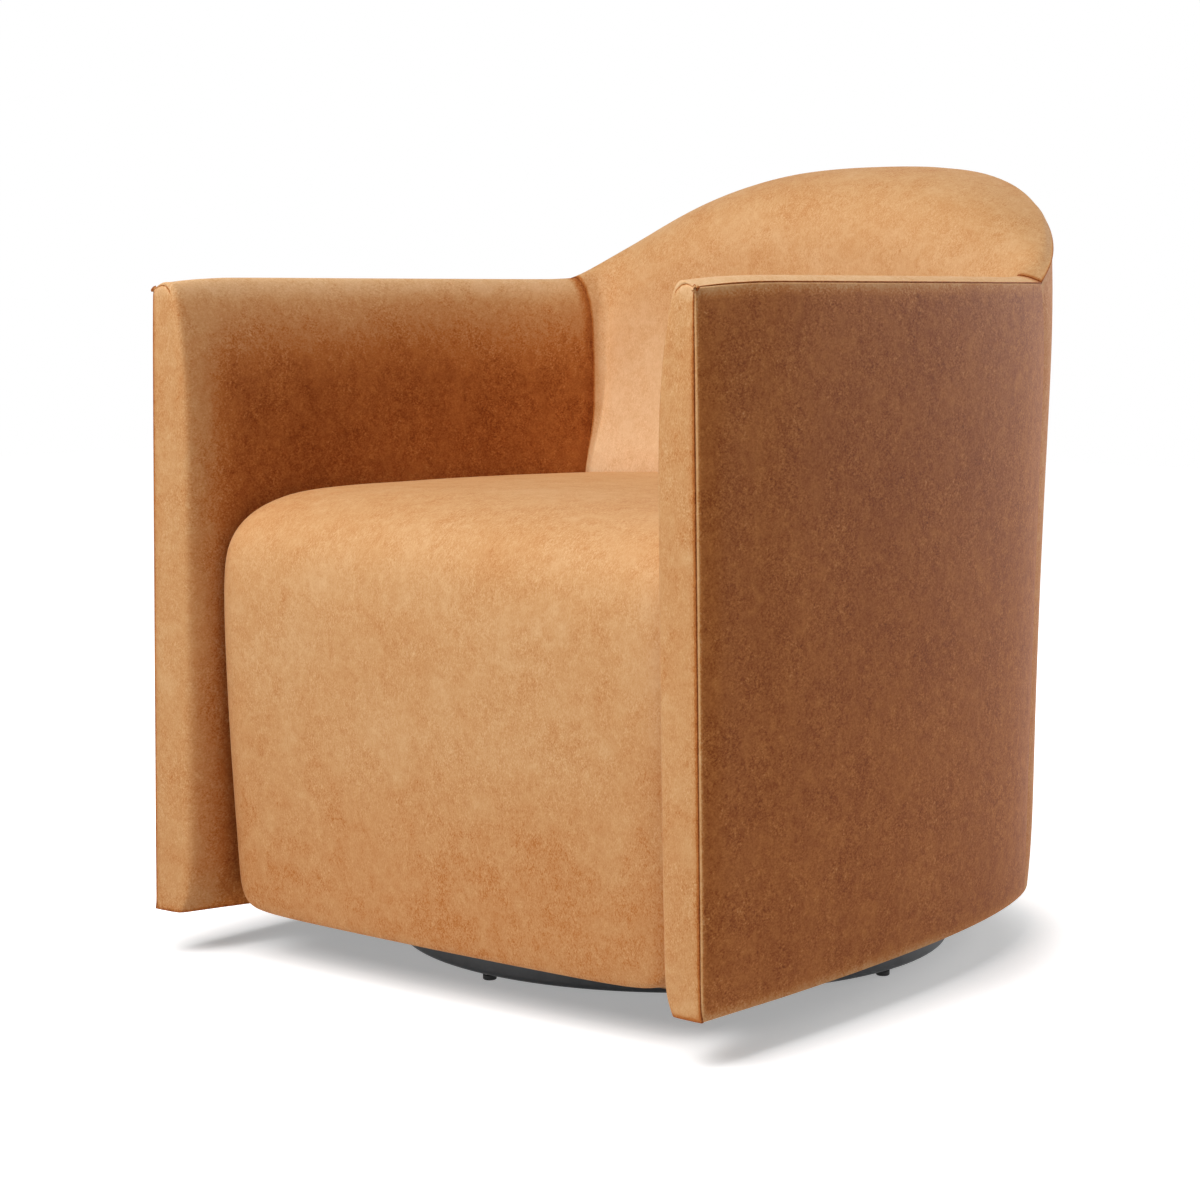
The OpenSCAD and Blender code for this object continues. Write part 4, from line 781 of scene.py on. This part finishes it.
# A tone of 0 is the hide's usual tan, 1 is the sides' brown, and below 0 the hide is paler still. Most tones
# are painted light and shade: painted shade towards the seat's hem and on an inside arm between strip and
# crest, painted highlights on the arms' crests and painted light on the back above the seat; the sides'
# brown is partly the hide's own and partly painted shade. A tone turns over a pair of heights or depths:
# above the hem or the seat, behind an arm's strip, or under its crest.
SEAT_PAINTED_SHADE = 0.3
SEAT_TURNS_Z = (0.06, 0.3)
BACK_PAINTED_LIGHT = -0.6
BACK_TURNS_Z = (0.47, 0.71)
ARM_FRONT_Y = -0.390
ARM_TOP_Z = 0.655
STRIP_DYE = 0.12
STRIP_TURNS_Y = (ARM_FRONT_Y + 0.006, ARM_FRONT_Y + 0.09)
WITHIN_PAINTED_SHADE = 0.88
WITHIN_TURNS_Z = (ARM_TOP_Z - 0.012, ARM_TOP_Z - 0.12)
CREST_PAINTED_HIGHLIGHT = -0.42
CREST_TURNS_Z = (ARM_TOP_Z - 0.03, ARM_TOP_Z - 0.008)
OUTER_BROWN_AND_SHADE = 1.0
MIDDLE_BROWN_AND_SHADE = 0.14
MIDDLE_Y = -0.05
MIDDLE_Z = 0.47
MIDDLE_TURNS_Y = (0.05, 0.26)
MIDDLE_TURNS_Z = (0.08, 0.25)
REAR_BROWN_AND_SHADE = 0.5


def seat_painted_shade(place):
    """Painted shade on the seat: browner towards the hem."""
    return SEAT_PAINTED_SHADE * (1 - ramped(place.z, *SEAT_TURNS_Z))


def back_painted_light(place):
    """Painted light on the back: palest just above the seat."""
    return BACK_PAINTED_LIGHT * (1 - ramped(place.z, *BACK_TURNS_Z))


def inside_arm_tone_and_painted_light(place):
    """An inside arm's tone: pale on the front strip, a painted highlight on the crest, and deep orange-brown
    painted shade between.
    """
    behind = ramped(place.y, *STRIP_TURNS_Y)
    below = ramped(place.z, *WITHIN_TURNS_Z)
    return STRIP_DYE + WITHIN_PAINTED_SHADE * behind * below + CREST_PAINTED_HIGHLIGHT * ramped(place.z, *CREST_TURNS_Z)


def brown_and_painted_shade_outside(place):
    """The outside arms' brown, partly the hide's own and partly painted shade, a little deeper in the
    middle.
    """
    from_middle_y = ramped(abs(place.y - MIDDLE_Y), *MIDDLE_TURNS_Y)
    from_middle_z = ramped(abs(place.z - MIDDLE_Z), *MIDDLE_TURNS_Z)
    middle = (1 - from_middle_y) * (1 - from_middle_z)
    return OUTER_BROWN_AND_SHADE + MIDDLE_BROWN_AND_SHADE * middle


def brown_and_painted_shade_behind(place):
    """The outside back's brown, partly the hide's own and partly painted shade, a little lighter than the
    arms'.
    """
    return REAR_BROWN_AND_SHADE


# How far a rim moves out past its seam line, in metres, and how squarely its way out must face a side.
SEAM_REACH = 0.0004
STRIP_REACH = -0.0012
PANEL_REACH = 0.0022
FACING = 0.6
FACING_SQUARELY = 0.8


def evenly(away):
    """All of a rim meets its neighbours."""
    return SEAM_REACH


def set_back(away):
    """An inside arm's outer rim stays back, so that the rolled edge of the outside arm shows beside it."""
    return STRIP_REACH if away.y < FACING and away.z > -FACING else SEAM_REACH


def lapped(away):
    """An outside panel's front and top rims come up to the inside covers'."""
    return PANEL_REACH if away.z > FACING or away.y < -FACING_SQUARELY else SEAM_REACH


# The inside covers are leather alone, and the outside ones also hold their wadding. A seam's groove gets
# painted shade, browner than the hide, and a rolled edge a painted highlight, paler, over a band that is
# narrower at the rear.
FACE_T = 0.0025
PANEL_T = 0.006
EDGE_ROLL = 0.0016
GROOVE_PAINTED_SHADE = 1.2
EDGE_PAINTED_HIGHLIGHT = 0.0
SEAM_FADE = 3
REAR_FADE = 9
COVERS = {
    "seat_cover": ((0, 0, 1), 50, FACE_T, seat_painted_shade, evenly),
    "inside_back_cover": ((0, -1, 0), 40, FACE_T, back_painted_light, evenly),
    "inside_arm_cover_left": ((-1, 0, 0), 40, FACE_T, inside_arm_tone_and_painted_light, set_back),
    "inside_arm_cover_right": ((1, 0, 0), 40, FACE_T, inside_arm_tone_and_painted_light, set_back),
    "outside_arm_cover_left": ((1, 0, 0), 40, PANEL_T, brown_and_painted_shade_outside, lapped),
    "outside_arm_cover_right": ((-1, 0, 0), 40, PANEL_T, brown_and_painted_shade_outside, lapped),
    "outside_back_cover": ((0, 1, 0), 40, PANEL_T, brown_and_painted_shade_behind, lapped),
}
for node, (towards, fold, thickness, tone_at, reach) in COVERS.items():
    # A seam's band: painted shade in the inside covers' grooves, a painted highlight on the outside panels'
    # rolled edges.
    seam_painted_light = EDGE_PAINTED_HIGHLIGHT if thickness == PANEL_T else GROOVE_PAINTED_SHADE
    sheet = cover_face(node, towards, fold)
    if "inside_arm" in node:
        corner_eased(sheet)
    panel = new_piece(node.replace("_cover", "_leather"), sheet, hide)
    subdivided(panel)
    settle_modifiers(panel)
    plumped(panel)
    seams = sewn_dart(panel) if "inside_arm" in node else set()
    drawn_together(panel, reach)
    if node != "seat_cover":
        seams.update(rim_of(panel))
    mark(panel, "seam", lambda v: 1.0 if v.index in seams else 0.0)
    subdivided(panel)
    wall = panel.modifiers.new("wall", "SOLIDIFY")
    wall.thickness = thickness
    wall.offset = -1
    rounded(panel, EDGE_ROLL, segments=4, least_angle=50)
    settle_modifiers(panel)
    seam = [kept.value for kept in panel.data.attributes["seam"].data]
    fade = [SEAM_FADE if v.co.y < 0 else REAR_FADE for v in panel.data.vertices]
    # The tone written here holds each panel's painted light and shade, with painted shade or highlight along
    # its seams.
    mark(panel, "tone_and_painted_light", lambda v: tone_at(v.co) + (seam_painted_light - tone_at(v.co)) * seam[v.index] ** fade[v.index])
    stands_for(panel, node, "chair")
